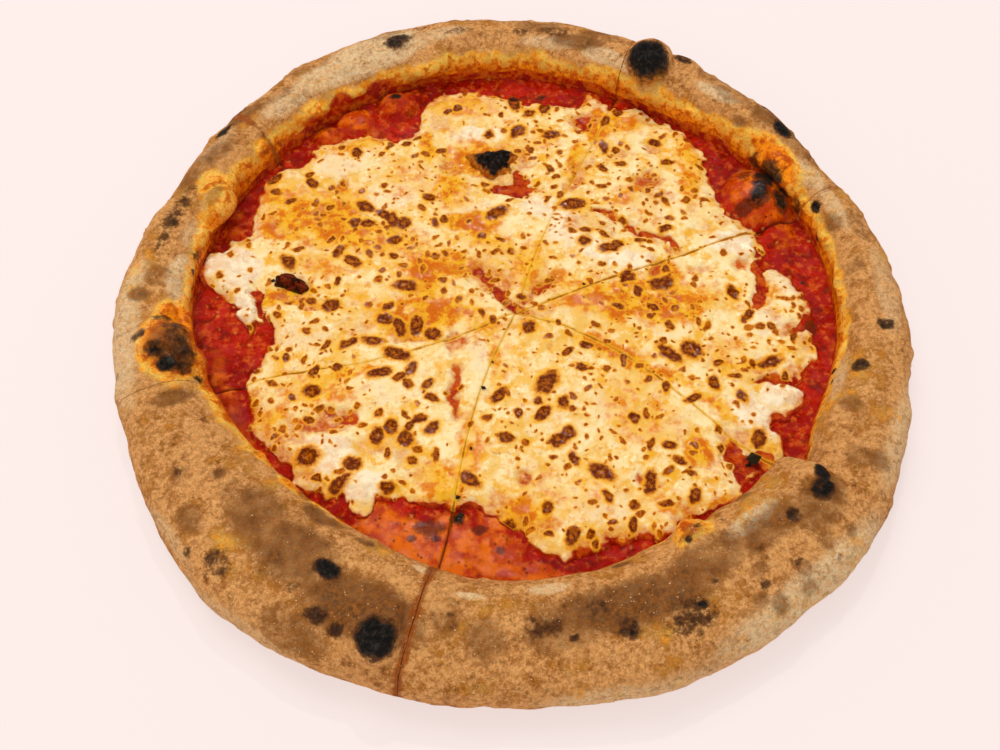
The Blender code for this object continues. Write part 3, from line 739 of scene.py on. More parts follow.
# Where it is so thin that the sauce colours it: the same and how strongly
THIN = (
    (35, 56, 6, 1.6, -10, 1.3), (45, 49, 9, 2, -40, 1.35), (56, 41.5, 8, 1.8, -24, 1.3), (65, 37, 5, 2, -40, 1.3),
    (-14, 19, 8, 4.8, -55, 1.3), (-7, 9, 8, 3.2, -42, 1.35), (1, 3, 7, 3, -45, 1.3), (12, 14, 6.5, 3, 38, 1.15),
    (6, 8, 5, 2, 30, 1.1), (-23, -39, 2.2, 9, 0, 1.2), (-66, -51.5, 7, 2, -5, 1.2),
    (57, 74, 8, 6, 0, 0.9), (62, 64, 8, 5, 0, 0.55), (46, 88, 7, 4, 20, 0.6), (30, 46, 13, 7, -20, 0.5), (27, 74, 12, 3.5, 60, 0.7), (80, 46, 7, 6, 0, 0.45),
    (90, 53, 7, 4, -30, 0.6), (94, 28, 4, 3.5, 0, 0.85), (75, 22, 6, 3, 0, 0.65), (58, 23, 2.5, 4.5, 0, 0.9),
    (101, -23, 7, 5, 0, 0.85), (103, -30, 11, 3, 0, 0.9), (111, -6, 8, 3.5, 10, 0.75), (115, -13, 6, 6, 0, 0.5),
    (104, 8, 5, 10, 0, 0.5), (61, 91, 5, 3, 15, 0.75), (50, 45, 16, 5, -38, 0.6), (66, 33, 4, 4, 0, 0.7),
    (-23, -38, 3.6, 12, 0, 1.0), (-24, -16, 4, 6, 0, 0.8), (-42, -13, 7, 4, 0, 0.95), (-65, -9, 6, 5, 0, 0.5),
    (-75, -54, 12, 4, 8, 1.0), (-65, -51, 5, 3, 0, 1.0), (-84, -60, 7, 6, 0, 0.75), (-88, -67, 5, 9, 20, 0.85),
    (-97, -54, 8, 9, 0, 0.6), (-79, -75, 7, 5, -30, 0.6), (-68, -84, 7, 3, -30, 0.5), (-48, -62, 12, 6, 0, 0.6),
    (-40, -66, 6, 7, 0, 0.75), (-32, -74, 6, 9, 0, 0.45), (-8, -90, 9, 6, 0, 0.8), (8, -96, 10, 5, 0, 0.65),
    (5, -76, 3.6, 4.6, 20, 0.95), (51, -78, 5.5, 3.5, 0, 1.0), (66, -87, 6, 3, 0, 0.75), (72, -73, 10, 8, 0, 0.4),
    (86, -58, 9, 5, -20, 0.7), (-29, 78, 5, 6, 0, 0.65), (2, 84, 5, 8, 0, 0.65), (-8, 74, 14, 9, 0, 0.55),
    (-12, 17, 13, 8, -55, 0.85), (5, 4, 11, 6, -20, 0.65), (12, 14, 9, 5, 35, 0.75), (6, -7, 3.5, 4, 0, 0.9),
    (-115, 37, 6, 5, 0, 0.75), (-124, 3, 7, 6, 0, 0.85), (-108, 64, 4, 8, 0, 0.55), (-58, 98, 13, 5, 0, 0.6),
    (-77, 66, 3.2, 4.2, 0, 0.85), (-85, 52, 5, 3, 0, 0.6), (-92, 34, 9, 5, -20, 0.5), (-14, 97, 5, 3, 0, 0.4),
    (-37, 105, 4, 5, 0, 0.5), (14, -15, 3, 1.4, 50, 0.6), (28, 108, 7, 7, 0, 0.8), (-87, 8, 4, 5, 0, 0.75),
    (-80, 1, 10, 2.5, 0, 0.8), (-102, -44, 6, 6, 0, 0.6), (-12, -15, 9, 12, 0, 0.3), (40, 42, 14, 5, -30, 0.45),
)
# Where its oil has gathered
OIL = (
    (-38, 18, 9, 18, 10, 1.0), (-21, 46, 11, 5, 0, 1.15), (-16, 40, 5, 6, 0, 1.1), (-42, 88, 4, 11, 0, 1.0),
    (-88, 46, 22, 14, 15, 1.0), (-100, 42, 10, 9, 0, 1.0), (-62, 38, 22, 8, 0, 0.75), (-70, 91, 16, 6, 15, 0.6),
    (-105, 60, 7, 10, 0, 0.85), (-29, 66, 8, 10, 0, 0.8), (-8, 36, 8, 8, 0, 0.6), (-26, 24, 10, 9, 0, 0.9),
    (-35, -2, 22, 9, 5, 1.1), (-46, -8, 10, 5, -40, 1.1), (-20, 84, 12, 12, 0, 0.95), (52, 8, 36, 10, 0, 0.95),
    (66, 2, 12, 6, 0, 1.15), (42, 1, 9, 6, 0, 1.0), (35, 104, 6, 12, -10, 1.0), (46, 106, 12, 8, 0, 0.7),
    (25, 84, 4, 14, -15, 0.95), (76, 78, 6, 20, 0, 0.75), (50, 66, 12, 6, 30, 0.6), (22, 16, 16, 6, 0, 0.7), (5, 26, 8, 14, 0, 0.6),
    (62, 22, 10, 6, 0, 0.8), (-95, 4, 11, 4, 10, 1.15), (-80, -40, 20, 9, 0, 0.6), (-94, -52, 12, 6, 0, 0.8),
    (-26, -78, 10, 9, 0, 0.8), (-30, -86, 12, 4, 0, 0.8), (-12, -6, 10, 6, 0, 0.7), (40, -19, 16, 3.5, -32, 1.0),
    (58, -28, 14, 3, -28, 0.9), (78, -43, 12, 3, -40, 0.8), (70, -62, 4.5, 9, 0, 0.95), (60, -86, 12, 6, 0, 0.6),
    (22, -78, 22, 10, 0, 0.4), (4, -92, 12, 9, 0, 0.9), (-8, -25, 4, 18, 0, 0.7), (-17, -60, 5, 18, 0, 0.6),
    (50, -45, 14, 20, 0, 0.45), (86, -20, 10, 14, 0, 0.5), (-80, 22, 14, 8, 0, 0.55), (-60, 5, 8, 8, 0, 0.4),
    (-66, -44, 10, 8, 0, 0.4), (80, -86, 10, 5, 20, 0.9), (-4, 96, 26, 12, 0, 0.35), (-30, 116, 16, 7, 0, 0.5),
    (-66, -30, 16, 3, 20, 0.8), (104, 12, 5, 6, 0, 0.7), (56, 52, 8, 5, -40, 0.5), (-50, 70, 14, 14, 0, 0.35),
)
# Where it lies thickest and stayed white
WHITE = (
    (-119, 19, 14, 10, -10, 1.0), (-111, 0, 5, 10, 5, 1.0), (40, 32, 20, 6, -25, 0.8), (20, 46, 8, 12, 0, 0.7),
    (60, 60, 18, 10, 0, 0.4), (90, 38, 11, 7, 10, 0.9), (105, -36, 9, 7, 0, 0.9), (92, -46, 12, 8, -20, 0.8),
    (-78, 80, 14, 9, 20, 0.5), (-56, 60, 12, 9, 0, 0.5), (-18, 98, 12, 5, 0, 0.8), (-70, -68, 13, 9, -20, 0.8),
    (-56, -79, 10, 6, 0, 0.8), (-48, -36, 20, 10, 0, 0.4), (-86, -13, 16, 9, 0, 0.4), (20, -45, 28, 12, 0, 0.35),
    (34, -88, 18, 8, 0, 0.4), (100, -4, 10, 8, 0, 0.6), (110, 14, 7, 9, 0, 0.6), (-10, 55, 14, 4, 0, 0.5),
    (10, 56, 8, 6, 0, 0.7), (-14, -20, 6, 10, 0, 0.5), (62, -8, 8, 5, 0, 0.4), (-56, -96, 4, 6, 0, 0.8),
)

# Larger browned spots: place and radius
SPOTS = (
    (70, -17.5, 4), (61, -19, 3.5), (12.5, -34, 4), (19, -43, 2.5), (11, -48, 2.5), (21, -56, 2.5), (17.5, -59, 3),
    (-3, -59, 2.5), (46, -49, 2), (59, -35, 2), (69, -40, 2.2), (78, -33, 2.5), (88, -38, 2), (62, -6, 2),
    (28, -16, 2), (5, -7.5, 3), (59, -61, 2), (62, -67, 2), (33, -73, 3.5), (23, -67, 2), (35, -83, 2),
    (22, -99, 2.5), (44, -94, 2), (13, -88, 2), (67, -81, 2.5), (101, -22, 3), (94, 0, 2.5), (89, 12, 2.5),
    (50, 11, 2), (46, 19, 2.5), (60, 16, 4), (93, -57, 3), (51, -77, 3), (-46, 12, 3.5), (-76, 1, 3),
    (-67, -17, 2.5), (-57, -16, 3), (-47, -22, 3.5), (-53, -31, 3), (-41, -29, 2.5), (-45, -33, 2), (-34, -36, 2),
    (-32, -42, 2), (-79, -40, 3), (-95, -37, 1.7), (-79, -31, 2), (-53, -6, 3), (-52, 1, 2), (-6, -40, 2.5),
    (-52, -49, 1.7), (-31, -55, 2.7), (-36, -51, 2), (-47, -55, 2.5), (-52, -59, 3), (-41, -60, 3), (-38, -69, 2),
    (-77, -69, 4), (-60, -72, 3), (-64, -80, 3), (-46, -81, 2.5), (-16, -77, 3), (-2.5, -97, 4), (-73, 85, 2.5),
    (-51, 92, 2), (-14, 98, 2.5), (-1, 100, 3.2), (-3, 120, 3.5), (-29, 115, 2), (-39, 60, 2.2), (-66, 54, 3),
    (-58, 50, 2.5), (-54, 47, 3), (-49, 45, 3), (-70, 45, 2.5), (-64, 45, 2.5), (-9, 52, 3.5), (-52, 36, 2.5),
    (-75, 29, 2.5), (-69, 24, 2.7), (-15, 39, 2), (-108, 70, 3), (-106, 62, 2), (-91, 67, 2.5), (-96, 23, 3),
    (11, 116, 3), (4, 112, 2.5), (14, 99, 3), (45, 115, 2.5), (39, 108, 2.5), (38, 92, 2.5), (45, 82, 2),
    (37, 79, 2), (66, 84, 2), (61, 96, 2), (24, 58, 3.5), (39, 34, 3), (42, 36, 2.5), (28, 37, 2.5), (45, 19, 2.5),
    (73, 61, 2), (63, 45, 2), (49, -25, 1.5), (-40, -8, 3), (-33, -12, 3), (-47, -9, 2.5),
)
SMALL_SPOTS = 1450                                  # further spots, scattered
SMALL_SPOT_SIZE = (0.48, 1.85)
SPOT_RISE = 0.35
SPOT_STRETCH = 1.7                                  # at most


def near_spots(x, y, spots):
    """How deep each place lies in the nearest spot: 0 far off, 1 at its edge, up to 2 at its middle."""
    depth, size = np.zeros(len(x)), np.zeros(len(x))
    for spot_x, spot_y, radius, turn, stretch in spots:
        near = np.flatnonzero((np.abs(x - spot_x) < 3 * radius) & (np.abs(y - spot_y) < 3 * radius))
        side, up = math.cos(turn), math.sin(turn)
        along, across = ((x[near] - spot_x) * side + (y[near] - spot_y) * up,
                         (y[near] - spot_y) * side - (x[near] - spot_x) * up)
        deep = 2 - np.hypot(along / stretch, across * math.sqrt(stretch)) / radius
        better = deep > depth[near]
        depth[near[better]], size[near[better]] = deep[better], radius
    return depth, size


def off_patch(x, y, middle_x, middle_y, long, wide, turn):
    """About how far outside an oval patch a place lies, less than 0 in it."""
    side, up = math.cos(math.radians(turn)), math.sin(math.radians(turn))
    along, across = (x - middle_x) * side + (y - middle_y) * up, (y - middle_y) * side - (x - middle_x) * up
    return (np.hypot(along / long, across / wide) - 1) * min(long, wide)


def cover(x, y, angle, radius):
    """How far inside the melted cheese a place lies."""
    flat = np.stack([x, y, 0 * x], 1)
    lobes = sum(height * lumps(flat, size, 80 + k) for k, (size, height) in enumerate(CHEESE_LOBES))
    inside = around(CHEESE_EDGE, angle) + lobes - radius
    ragged = 1.8 * lumps(flat, 4, 90) + 1.0 * lumps(flat, 1.8, 91)
    for lobe in LOBES:
        inside = np.maximum(inside, ragged - off_patch(x, y, *lobe))
    return inside


def melted_cheese():
    """Cream-white, yellow with oil, pink to orange where thin, with amber-brown spots ringed darker."""
    finish = Finish("melted_cheese")
    broad, mottle, fine = finish.grain(9, 4, 0.6), finish.grain(2.6, 6, 0.66), finish.grain(0.8, 4, 0.68)
    wander = finish.sum(finish.sum(finish.times(mottle, 0.65), finish.times(broad, 0.35)), 0.5, "SUBTRACT")
    colour = finish.blend(finish.rise(broad, 0.4, 0.6), (0.94, 0.69, 0.30), (0.88, 0.50, 0.10))
    colour = finish.blend(finish.times(finish.rise(mottle, 0.44, 0.58), 0.85), colour, (0.96, 0.78, 0.42))
    white = finish.rise(finish.sum(finish.mark("white"), wander), 0.2, 0.8)
    colour = finish.blend(white, colour, finish.blend(finish.rise(mottle, 0.4, 0.6), (0.97, 0.81, 0.54), (0.86, 0.60, 0.36)))
    seep = finish.rise(finish.grain(4, 6, 0.7), 0.48, 0.64)
    few = finish.rise(finish.mark("white"), 0.1, 0.6, 1.0, 0.2)
    colour = finish.blend(finish.times(seep, few), colour, (0.88, 0.42, 0.025))
    oil = finish.rise(finish.sum(finish.mark("oil"), finish.times(wander, 2.8)), 0.15, 0.8)
    gold = finish.blend(finish.rise(mottle, 0.44, 0.58), (0.88, 0.43, 0.014), (0.78, 0.22, 0.002))
    colour = finish.blend(oil, colour, gold)
    deep = finish.rise(finish.sum(finish.mark("oil"), finish.times(wander, 4.2)), 0.7, 1.25)
    colour = finish.blend(deep, colour, (0.64, 0.12, 0.001))
    pink = finish.rise(finish.sum(finish.mark("thin"), finish.times(wander, 2.6)), 0.2, 0.9)
    blush = finish.blend(finish.rise(fine, 0.35, 0.65), (0.80, 0.33, 0.075), (0.58, 0.11, 0.006))
    colour = finish.blend(finish.times(pink, 0.9), colour, blush)
    red = finish.rise(finish.sum(finish.mark("thin"), finish.times(wander, 3.0)), 0.72, 1.1)
    tomato = finish.blend(finish.rise(mottle, 0.42, 0.6), (0.30, 0.004, 0.0003), (0.55, 0.060, 0.001))
    colour = finish.blend(red, colour, tomato)
    fleck = finish.times(finish.rise(finish.grain(1.5, 5, 0.75), 0.58, 0.66), finish.rise(broad, 0.38, 0.55, 0.2, 1.0))
    colour = finish.blend(finish.times(fleck, 0.75), colour, (0.60, 0.17, 0.004))
    # Along the cuts: orange where the wheel dragged oil, and a dark line down the middle that is painted shade of the
    # groove between the slices
    cut = finish.sum(finish.mark("cut"), finish.times(wander, 2.2))
    colour = finish.blend(finish.times(finish.rise(cut, 0.15, 0.6), 0.75), colour, (0.86, 0.42, 0.015))
    colour = finish.blend(finish.times(finish.rise(cut, 0.55, 0.9), 0.9), colour, (0.33, 0.070, 0.002))
    uneven = finish.sum(finish.times(finish.sum(fine, 0.5, "SUBTRACT"), 0.8), finish.times(wander, 1.0))
    spot = finish.sum(finish.mark("spot"), uneven)
    large = finish.sum(finish.mark("large"), finish.times(wander, 1.6))
    halo = finish.times(finish.rise(spot, 0.0, 0.8), finish.rise(large, 0.1, 0.6, 0.75, 0.92))
    colour = finish.blend(halo, colour, finish.blend(finish.rise(spot, 0.3, 0.9), (0.93, 0.50, 0.03), (0.80, 0.27, 0.003)))
    light = finish.blend(finish.rise(fine, 0.42, 0.58), (0.62, 0.17, 0.001), (0.33, 0.055, 0.0005))
    burnt = finish.blend(finish.rise(finish.grain(0.7, 4, 0.7), 0.44, 0.56), (0.48, 0.12, 0.001), (0.15, 0.018, 0.0005))
    brown = finish.blend(finish.rise(large, 0.25, 0.6), light, burnt)
    colour = finish.blend(finish.rise(spot, 0.68, 1.08), colour, brown)
    dark = finish.times(finish.rise(spot, 0.9, 1.2), finish.rise(spot, 1.75, 1.35))
    dark = finish.times(dark, finish.rise(finish.grain(1.1, 4, 0.7), 0.4, 0.55, 0.35, 1.0))
    colour = finish.blend(finish.times(dark, finish.rise(large, 0.3, 0.7, 0.0, 0.85)), colour, (0.12, 0.014, 0.0004))
    finish.put(finish.shader.inputs["Base Color"], colour)
    gloss = finish.rise(finish.grain(4, 3, 0.6), 0.51, 0.525)
    finish.put(finish.shader.inputs["Roughness"], finish.rise(gloss, 0.0, 1.0, 0.9, 0.15))
    relief = finish.bump(fine, 0.14, None, finish.rise(gloss, 0.2, 0.8, 1.0, 0.0))
    swell = finish.bump(finish.grain(1.5, 2, 0.5), 0.45, relief)
    finish.put(finish.shader.inputs["Normal"], finish.bump(mottle, 0.6, swell, finish.rise(gloss, 0.2, 0.8, 1.0, 0.5)))
    finish.shader.inputs["Specular IOR Level"].default_value = 0.3
    return finish.material


def cut_cheese():
    """The side of the cheese, pale, with the oil that the wheel has dragged down it."""
    finish = Finish("cut_cheese")
    colour = finish.blend(finish.grain(2), (0.80, 0.42, 0.10), (0.45, 0.12, 0.015))
    finish.put(finish.shader.inputs["Base Color"], colour)
    finish.put(finish.shader.inputs["Roughness"], 0.4)
    return finish.material


def scattered_spots():
    """Small browned spots, kept off the large ones, thicker here and there."""
    pick = np.random.default_rng(5)
    tries = pick.uniform(-132, 132, (60 * SMALL_SPOTS, 2))
    keep = pick.uniform(-0.9, 0.9, len(tries)) < lumps(np.column_stack([tries, 0 * tries[:, 0]]), 24, 70)
    radii = SMALL_SPOT_SIZE[0] + np.ptp(SMALL_SPOT_SIZE) * pick.uniform(0, 1, len(tries)) ** 2.4
    placed = np.array(SPOTS)
    for (x, y), radius in zip(tries[keep], radii[keep]):
        if len(placed) == len(SPOTS) + SMALL_SPOTS:
            break
        if np.hypot(x, y) < 132 and (np.hypot(placed[:, 0] - x, placed[:, 1] - y) > placed[:, 2] + radius + 0.5).all():
            placed = np.vstack([placed, (x, y, radius)])
    placed[:, 2] *= 0.9
    turn, stretch = pick.uniform(0, math.pi, len(placed)), pick.uniform(1, SPOT_STRETCH, len(placed))
    return np.column_stack([placed, turn, stretch])


def make_cheese(number, finish, inside, spots):
    start, end = CUTS[number][1], CUTS[(number + 1) % 6][1]
    span = math.radians((end - start) % 360)
    reach = np.linspace(0, 1, round(122 / CHEESE_STEP))[1:]
    counts = [0] + [max(2, round(span * 122 * part / CHEESE_STEP)) for part in reach]
    counts.append(counts[-1])
    share = np.concatenate([np.linspace(0, 1, count + 1) if count else [0.5] for count in counts])
    row = np.repeat(np.arange(len(counts)), np.array(counts) + 1)
    part = np.array([0, *reach, 1])[row]
    angle, radius = across_slice(number, share, lambda a: part * (around(CHEESE_EDGE, a) + CHEESE_SPARE), CHEESE_GAP)
    points = ring_point(radius, angle, np.zeros(len(row)))
    x, y = points[:, 0], points[:, 1]
    away, which = off_cut(number, angle, radius)
    show = np.array(CUT_SHOW)[which]
    inside_by = cover(x, y, angle, radius)
    ragged = 0.22 * lumps(points, 5, 92) + 0.2 * lumps(points, 2.2, 93) + 0.12 * lumps(points, 1.1, 94)
    wide_x, wide_y = (at + 2.0 * lumps(points, 8, seed) + 1.3 * lumps(points, 3.4, seed + 1) + 0.7 * lumps(points, 1.5, seed + 2)
                      for at, seed in ((x, 130), (y, 133)))
    bare = patches(wide_x, wide_y, [(*patch, 1) for patch in BARE], 0.4)
    bare = smooth((bare + ragged * (bare > 0) - 0.25) / 0.6)
    sunk = patches(wide_x, wide_y, [(*patch, 1) for patch in BARE], 0.9)
    thick = 0.25 * smooth(inside_by / CHEESE_LIP[0]) + 0.75 * smooth(0.5 + inside_by / CHEESE_LIP[1] / 2) ** 2
    thick = thick * (1 - 0.75 * sunk)
    thin, oil, white = (patches(wide_x, wide_y, places, soften) for places, soften in ((THIN, 0.5), (OIL, 0.7), (WHITE, 0.35)))
    relief = sum(height * lumps(points, size, 100 + k) for k, (size, height) in enumerate(CHEESE_RELIEF))
    bent_x, bent_y = (at + 0.6 * lumps(points, 2.6, seed) + 0.3 * lumps(points, 1.2, seed + 1)
                      for at, seed in ((x, 120), (y, 122)))
    spot, size = near_spots(bent_x, bent_y, spots)
    ring = np.sin(np.clip(spot, 0, 2) / 2 * math.pi) ** 2 * np.clip(size / 2, 0, 1)
    low = SAUCE_TOP - 0.5 + 0.5 * thick
    top = low + (CHEESE_TOP - SAUCE_TOP) * thick * (1 - 0.45 * thin) + relief * thick
    top += SPOT_RISE * ring * thick + 0.8 * white * thick - 0.35 * show * smooth(1 - away / 1.2)
    points[:, 2] = np.where(inside_by > 0, top, SAUCE_TOP - 1.1)
    points[row == len(counts) - 1, 2] = CHEESE_FLOOR
    uneven = np.maximum(1 + 0.9 * lumps(points * (1, 1, 0), 13, 95) + 0.5 * lumps(points * (1, 1, 0), 5, 96), 0.25)
    edge = 0.85 * smooth(1 - inside_by / (6 * uneven)) + 0.7 * smooth(1.2 - inside_by / (1.6 * uneven))
    marks = {"spot": spot * (inside_by > 0.6) * (1 - bare), "large": np.clip(size / 3, 0, 1),
             "thin": np.maximum(thin, np.maximum(edge, 1.45 * bare)), "oil": oil, "white": white * (1 - bare),
             "cut": show * smooth(1 - away / 1.5)}
    piece = slice_piece(f"cheese_{number + 1}", counts, len(counts) - 1, points, CHEESE_FLOOR, marks, finish, inside)
    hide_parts(f"cheese_slice_{number + 1}")


cheese, cheese_side, all_spots = melted_cheese(), cut_cheese(), scattered_spots()
for slice_number in range(6):
    make_cheese(slice_number, cheese, cheese_side, all_spots)

# =====================================================================================================
# Burnt bubble. The dough blew up through the toppings here, and its thin top charred black and cracked.
# =====================================================================================================
BUBBLE_LOW, BUBBLE_HIGH = (np.array(corner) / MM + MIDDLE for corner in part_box("burnt_bubble"))


def char():
    """Charcoal black, cracked, with grey ash on its high places and a red-brown skirt."""
    finish = Finish("char")
    grit = finish.grain(1.0, 5, 0.75)
    colour = finish.blend(finish.rise(grit, 0.45, 0.68), (0.008, 0.006, 0.005), (0.060, 0.045, 0.036))
    skirt = finish.rise(finish.sum(finish.mark("foot"), finish.times(finish.sum(finish.grain(2.6), 0.5, "SUBTRACT"), 1.5)),
                        0.35, 0.75)
    colour = finish.blend(skirt, colour, finish.blend(finish.rise(grit, 0.4, 0.6), (0.40, 0.060, 0.002), (0.62, 0.20, 0.010)))
    finish.put(finish.shader.inputs["Base Color"], colour)
    finish.put(finish.shader.inputs["Roughness"], finish.rise(grit, 0.45, 0.55, 0.3, 0.7))
    finish.put(finish.shader.inputs["Normal"], finish.bump(grit, 1.3))
    finish.shader.inputs["Specular IOR Level"].default_value = 0.15
    return finish.material


def scrap(name, low, high, outline, dome, rough, finish, seed):
    """A lumpy scrap with an uneven outline, given as a share of its half widths every 45 degrees."""
    rings, turns = 34, 120
    share, turn = np.meshgrid(np.linspace(0, 1, rings)[1:], np.arange(turns) * 360 / turns, indexing="ij")
    share, turn = np.append(0, share.ravel()), np.append(0, turn.ravel())
    reach = share * around(outline, turn)
    flat = ring_point(reach, turn, 0 * turn)
    reach = reach * (1 + 0.25 * lumps(flat, 0.5, seed) + 0.15 * lumps(flat, 0.22, seed + 1))
    middle, half = (low + high) / 2, (high - low) / 2
    points = np.array(middle) + ring_point(reach, turn, 0 * turn) * half
    bumps = lumps(flat, 0.55, seed + 2) + 0.5 * lumps(flat, 0.25, seed + 3) + 0.3 * lumps(flat, 0.12, seed + 4)
    rise = np.clip(1 - share**dome, 0, 1) ** 0.6 * (0.72 + rough * bumps)
    points[:, 2] = low[2] - 1.2 + (high[2] - low[2] + 1.2) * np.clip(rise, 0, 1)
    k = np.arange(turns)
    after = (k + 1) % turns
    faces = [np.stack([0 * k, 1 + k, 1 + after], 1)]
    for ring in range(rings - 2):
        a, b = 1 + ring * turns + k, 1 + ring * turns + after
        faces += [np.stack([a, a + turns, b + turns], 1), np.stack([a, b + turns, b], 1)]
    last = 1 + (rings - 2) * turns
    points = np.vstack([points, [*middle[:2], points[last:, 2].min()]])
    faces.append(np.stack([last + after, last + k, np.full(turns, len(points) - 1)], 1))
    return mesh_piece(name, points, np.concatenate(faces), finish, {"foot": np.append(share**3, 1)})


charred = char()
HEART = (0.95, 1.05, 0.72, 1.1, 1.0, 0.85, 1.0, 0.8)
bubble = scrap("burnt_bubble", BUBBLE_LOW, BUBBLE_HIGH, HEART, 2.4, 0.35, charred, 210)
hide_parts("burnt_bubble")

# =====================================================================================================
# Basil leaf. Laid on before baking, it shrivelled to a dark, curled scrap with a drop of sauce on it.
# =====================================================================================================
LEAF_LOW, LEAF_HIGH = (np.array(corner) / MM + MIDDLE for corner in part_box("basil_leaf"))


def scorched_leaf():
    """Nearly black, dark red-brown where the sauce has soaked in, olive at one end."""
    finish = Finish("scorched_leaf")
    grit = finish.grain(1.6, 4, 0.7)
    colour = finish.blend(finish.rise(grit, 0.42, 0.6), (0.025, 0.006, 0.002), (0.20, 0.018, 0.002))
    colour = finish.blend(finish.times(finish.rise(finish.grain(3.1), 0.52, 0.62), 0.7), colour, (0.07, 0.055, 0.010))
    finish.put(finish.shader.inputs["Base Color"], colour)
    finish.put(finish.shader.inputs["Roughness"], finish.rise(grit, 0.45, 0.6, 0.15, 0.6))
    finish.put(finish.shader.inputs["Normal"], finish.bump(grit, 1.2))
    finish.shader.inputs["Specular IOR Level"].default_value = 0.12
    return finish.material


LEAF_OUTLINE = (1.0, 0.62, 0.85, 1.0, 0.95, 0.6, 0.55, 1.05)
leaf = scrap("basil_leaf", LEAF_LOW, LEAF_HIGH, LEAF_OUTLINE, 5, 0.4, scorched_leaf(), 230)
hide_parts("basil_leaf")

# =====================================================================================================
# Flour and bits. Grains of coarse flour that stuck to the rim, mostly in front, and a few burnt specks
# and a shred of herb that lie on the toppings.
# =====================================================================================================
GRAINS = 1500
GRAIN_SIZE = (0.10, 0.27)
BITS = ((27.5, 14.4, 0.8), (90, -65.6, 2.3), (-12, -37, 0.9), (-16, -64, 0.8), (-20, -85, 1.1), (-18.5, -92, 1.4),
        (-9, -25, 0.6), (118, 17, 0.9), (66, 3, 0.6), (-101, 13, 1.2))


def grains(name, places, sizes, finish, seed):
    """Small uneven eight-sided grains, all in one mesh."""
    cast = np.random.default_rng(seed)
    corner = np.array([(1, 0, 0), (-1, 0, 0), (0, 1, 0), (0, -1, 0), (0, 0, 1), (0, 0, -1)], float)
    sides = np.array([(0, 2, 4), (2, 1, 4), (1, 3, 4), (3, 0, 4), (2, 0, 5), (1, 2, 5), (3, 1, 5), (0, 3, 5)])
    shape = corner * cast.uniform(0.6, 1.5, (len(places), 6, 1)) * (1, 1, 0.6)
    turn = cast.uniform(0, 2 * math.pi, len(places))
    side, up = np.cos(turn)[:, None], np.sin(turn)[:, None]
    shape = np.stack([shape[..., 0] * side - shape[..., 1] * up, shape[..., 0] * up + shape[..., 1] * side, shape[..., 2]], 2)
    points = places[:, None] + shape * sizes[:, None, None]
    faces = sides[None] + 6 * np.arange(len(places))[:, None, None]
    return mesh_piece(name, points.reshape(-1, 3), faces.reshape(-1, 3), finish)


def plain(name, colour, roughness):
    """A colour with a little grain in it."""
    finish = Finish(name)
    finish.put(finish.shader.inputs["Base Color"], finish.blend(finish.grain(0.8), colour, tuple(0.6 * c for c in colour)))
    finish.put(finish.shader.inputs["Roughness"], roughness)
    finish.shader.inputs["Specular IOR Level"].default_value = 0.1
    return finish.material


cast = np.random.default_rng(31)
turns = np.concatenate([cast.normal(262, 34, 3 * GRAINS // 4), cast.uniform(0, 360, GRAINS // 4)]) % 360
over = cast.uniform(0.2, 0.8, len(turns))
starts = np.array([start for _, start in CUTS])
slices = np.argmin((turns[:, None] - starts) % 360, axis=1)
grain_places = np.zeros((len(turns), 3))
for slice_number in range(6):
    mine = slices == slice_number
    grain_places[mine] = ring_point(rim_point(slice_number, turns[mine], over[mine])[0], turns[mine],
                                    rim_point(slice_number, turns[mine], over[mine])[1] + 0.05)
bare_of_char = skin_mark(0, grain_places, turns, BURNT) < 0.3
grain_sizes = cast.uniform(*GRAIN_SIZE, len(turns))[bare_of_char]
grains("flour", grain_places[bare_of_char], grain_sizes, plain("coarse_flour", (1.0, 0.64, 0.30), 0.8), 33)
bit_places = np.array([(x, y, CHEESE_TOP + 0.3) for x, y, _ in BITS])
grains("burnt_bits", bit_places, np.array([size for *_, size in BITS]), plain("burnt_bit", (0.03, 0.02, 0.008), 0.5), 34)

# =====================================================================================================
# Table, light and camera: a plain pale floor, a wide soft lamp above and behind to the left, and a view
# from the front, 57 degrees down.
# =====================================================================================================
FLOOR_COLOUR = (0.30, 0.26, 0.25)
FLOOR_GLOW = (0.66, 0.575, 0.553)
CAMERA_PLACE = (2.244, -271.02, 381.09)
CAMERA_FALL = 57.4
CAMERA_TURN = -1.4
CAMERA_LENS = 40.57

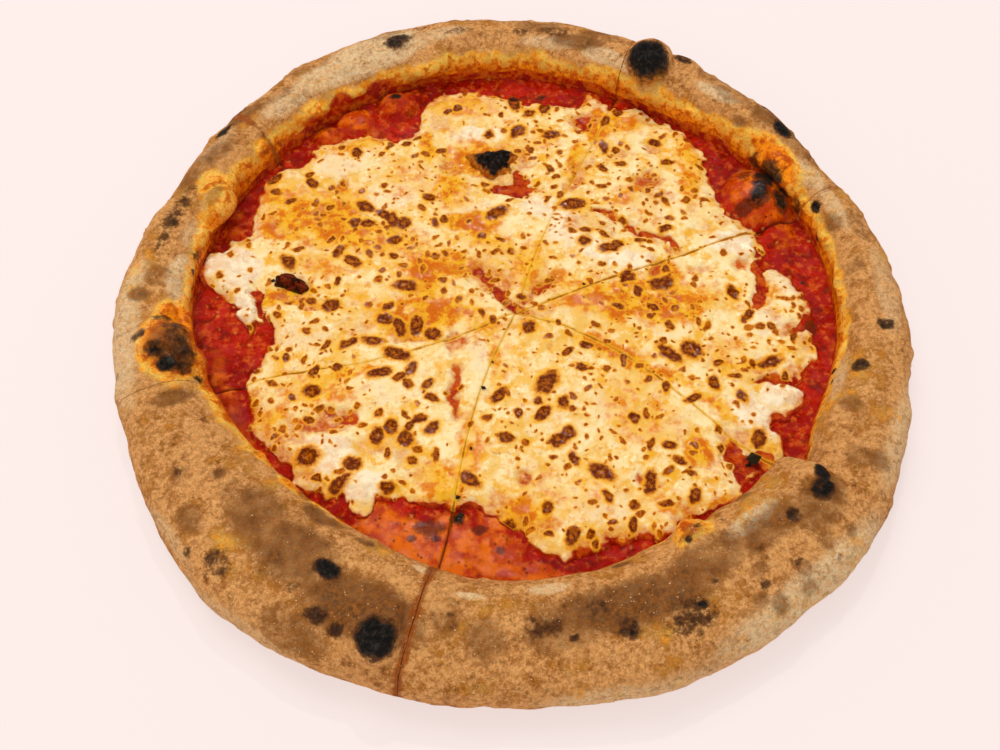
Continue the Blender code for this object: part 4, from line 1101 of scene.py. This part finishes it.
bpy.ops.mesh.primitive_plane_add(size=6)
floor = bpy.context.object
floor.name = "floor"
pale = Finish("floor")
pale.put(pale.shader.inputs["Base Color"], FLOOR_COLOUR)
pale.put(pale.shader.inputs["Roughness"], 1.0)
pale.shader.inputs["Specular IOR Level"].default_value = 0
pale.put(pale.shader.inputs["Emission Color"], FLOOR_GLOW)
pale.put(pale.shader.inputs["Emission Strength"], 1.0)
floor.data.materials.append(pale.material)


def lamp(name, power, size, angle, rise, far):
    """A square soft lamp that shines at the pizza from that side and height."""
    side, up = math.radians(angle), math.radians(rise)
    light = bpy.data.lights.new(name, "AREA")
    light.energy, light.size = power, size
    made = bpy.data.objects.new(name, light)
    made.location = far * Vector((math.cos(up) * math.cos(side), math.cos(up) * math.sin(side), math.sin(up)))
    made.rotation_euler = made.location.to_track_quat("Z", "Y").to_euler()
    bpy.context.collection.objects.link(made)
    return made


for broad_lamp in (lamp("key", 30, 1.4, 125, 60, 3.0), lamp("fill", 20, 2.2, 255, 45, 3.0)):
    broad_lamp.visible_glossy = False
lamp("glint", 14, 0.09, 90, 54, 3.0)
world = bpy.data.worlds.new("studio")
world.use_nodes = True
world.node_tree.nodes["Background"].inputs["Color"].default_value = (1, 1, 1, 1)
world.node_tree.nodes["Background"].inputs["Strength"].default_value = 0.57
bpy.context.scene.world = world
world.cycles_visibility.glossy = False
bpy.context.scene.view_settings.view_transform = "Standard"

fall, turn = math.radians(CAMERA_FALL), math.radians(CAMERA_TURN)
forward = Vector((math.sin(turn) * math.cos(fall), math.cos(turn) * math.cos(fall), -math.sin(fall)))
right = Vector((math.cos(turn), -math.sin(turn), 0))
pose = Matrix((right, right.cross(forward), -forward)).transposed().to_4x4()
pose.translation = Vector(CAMERA_PLACE) * MM
camera = bpy.data.objects.new("camera", bpy.data.cameras.new("camera"))
camera.data.lens, camera.data.clip_start = CAMERA_LENS, 0.01
camera.matrix_world = pose
bpy.context.collection.objects.link(camera)
bpy.context.scene.camera = camera
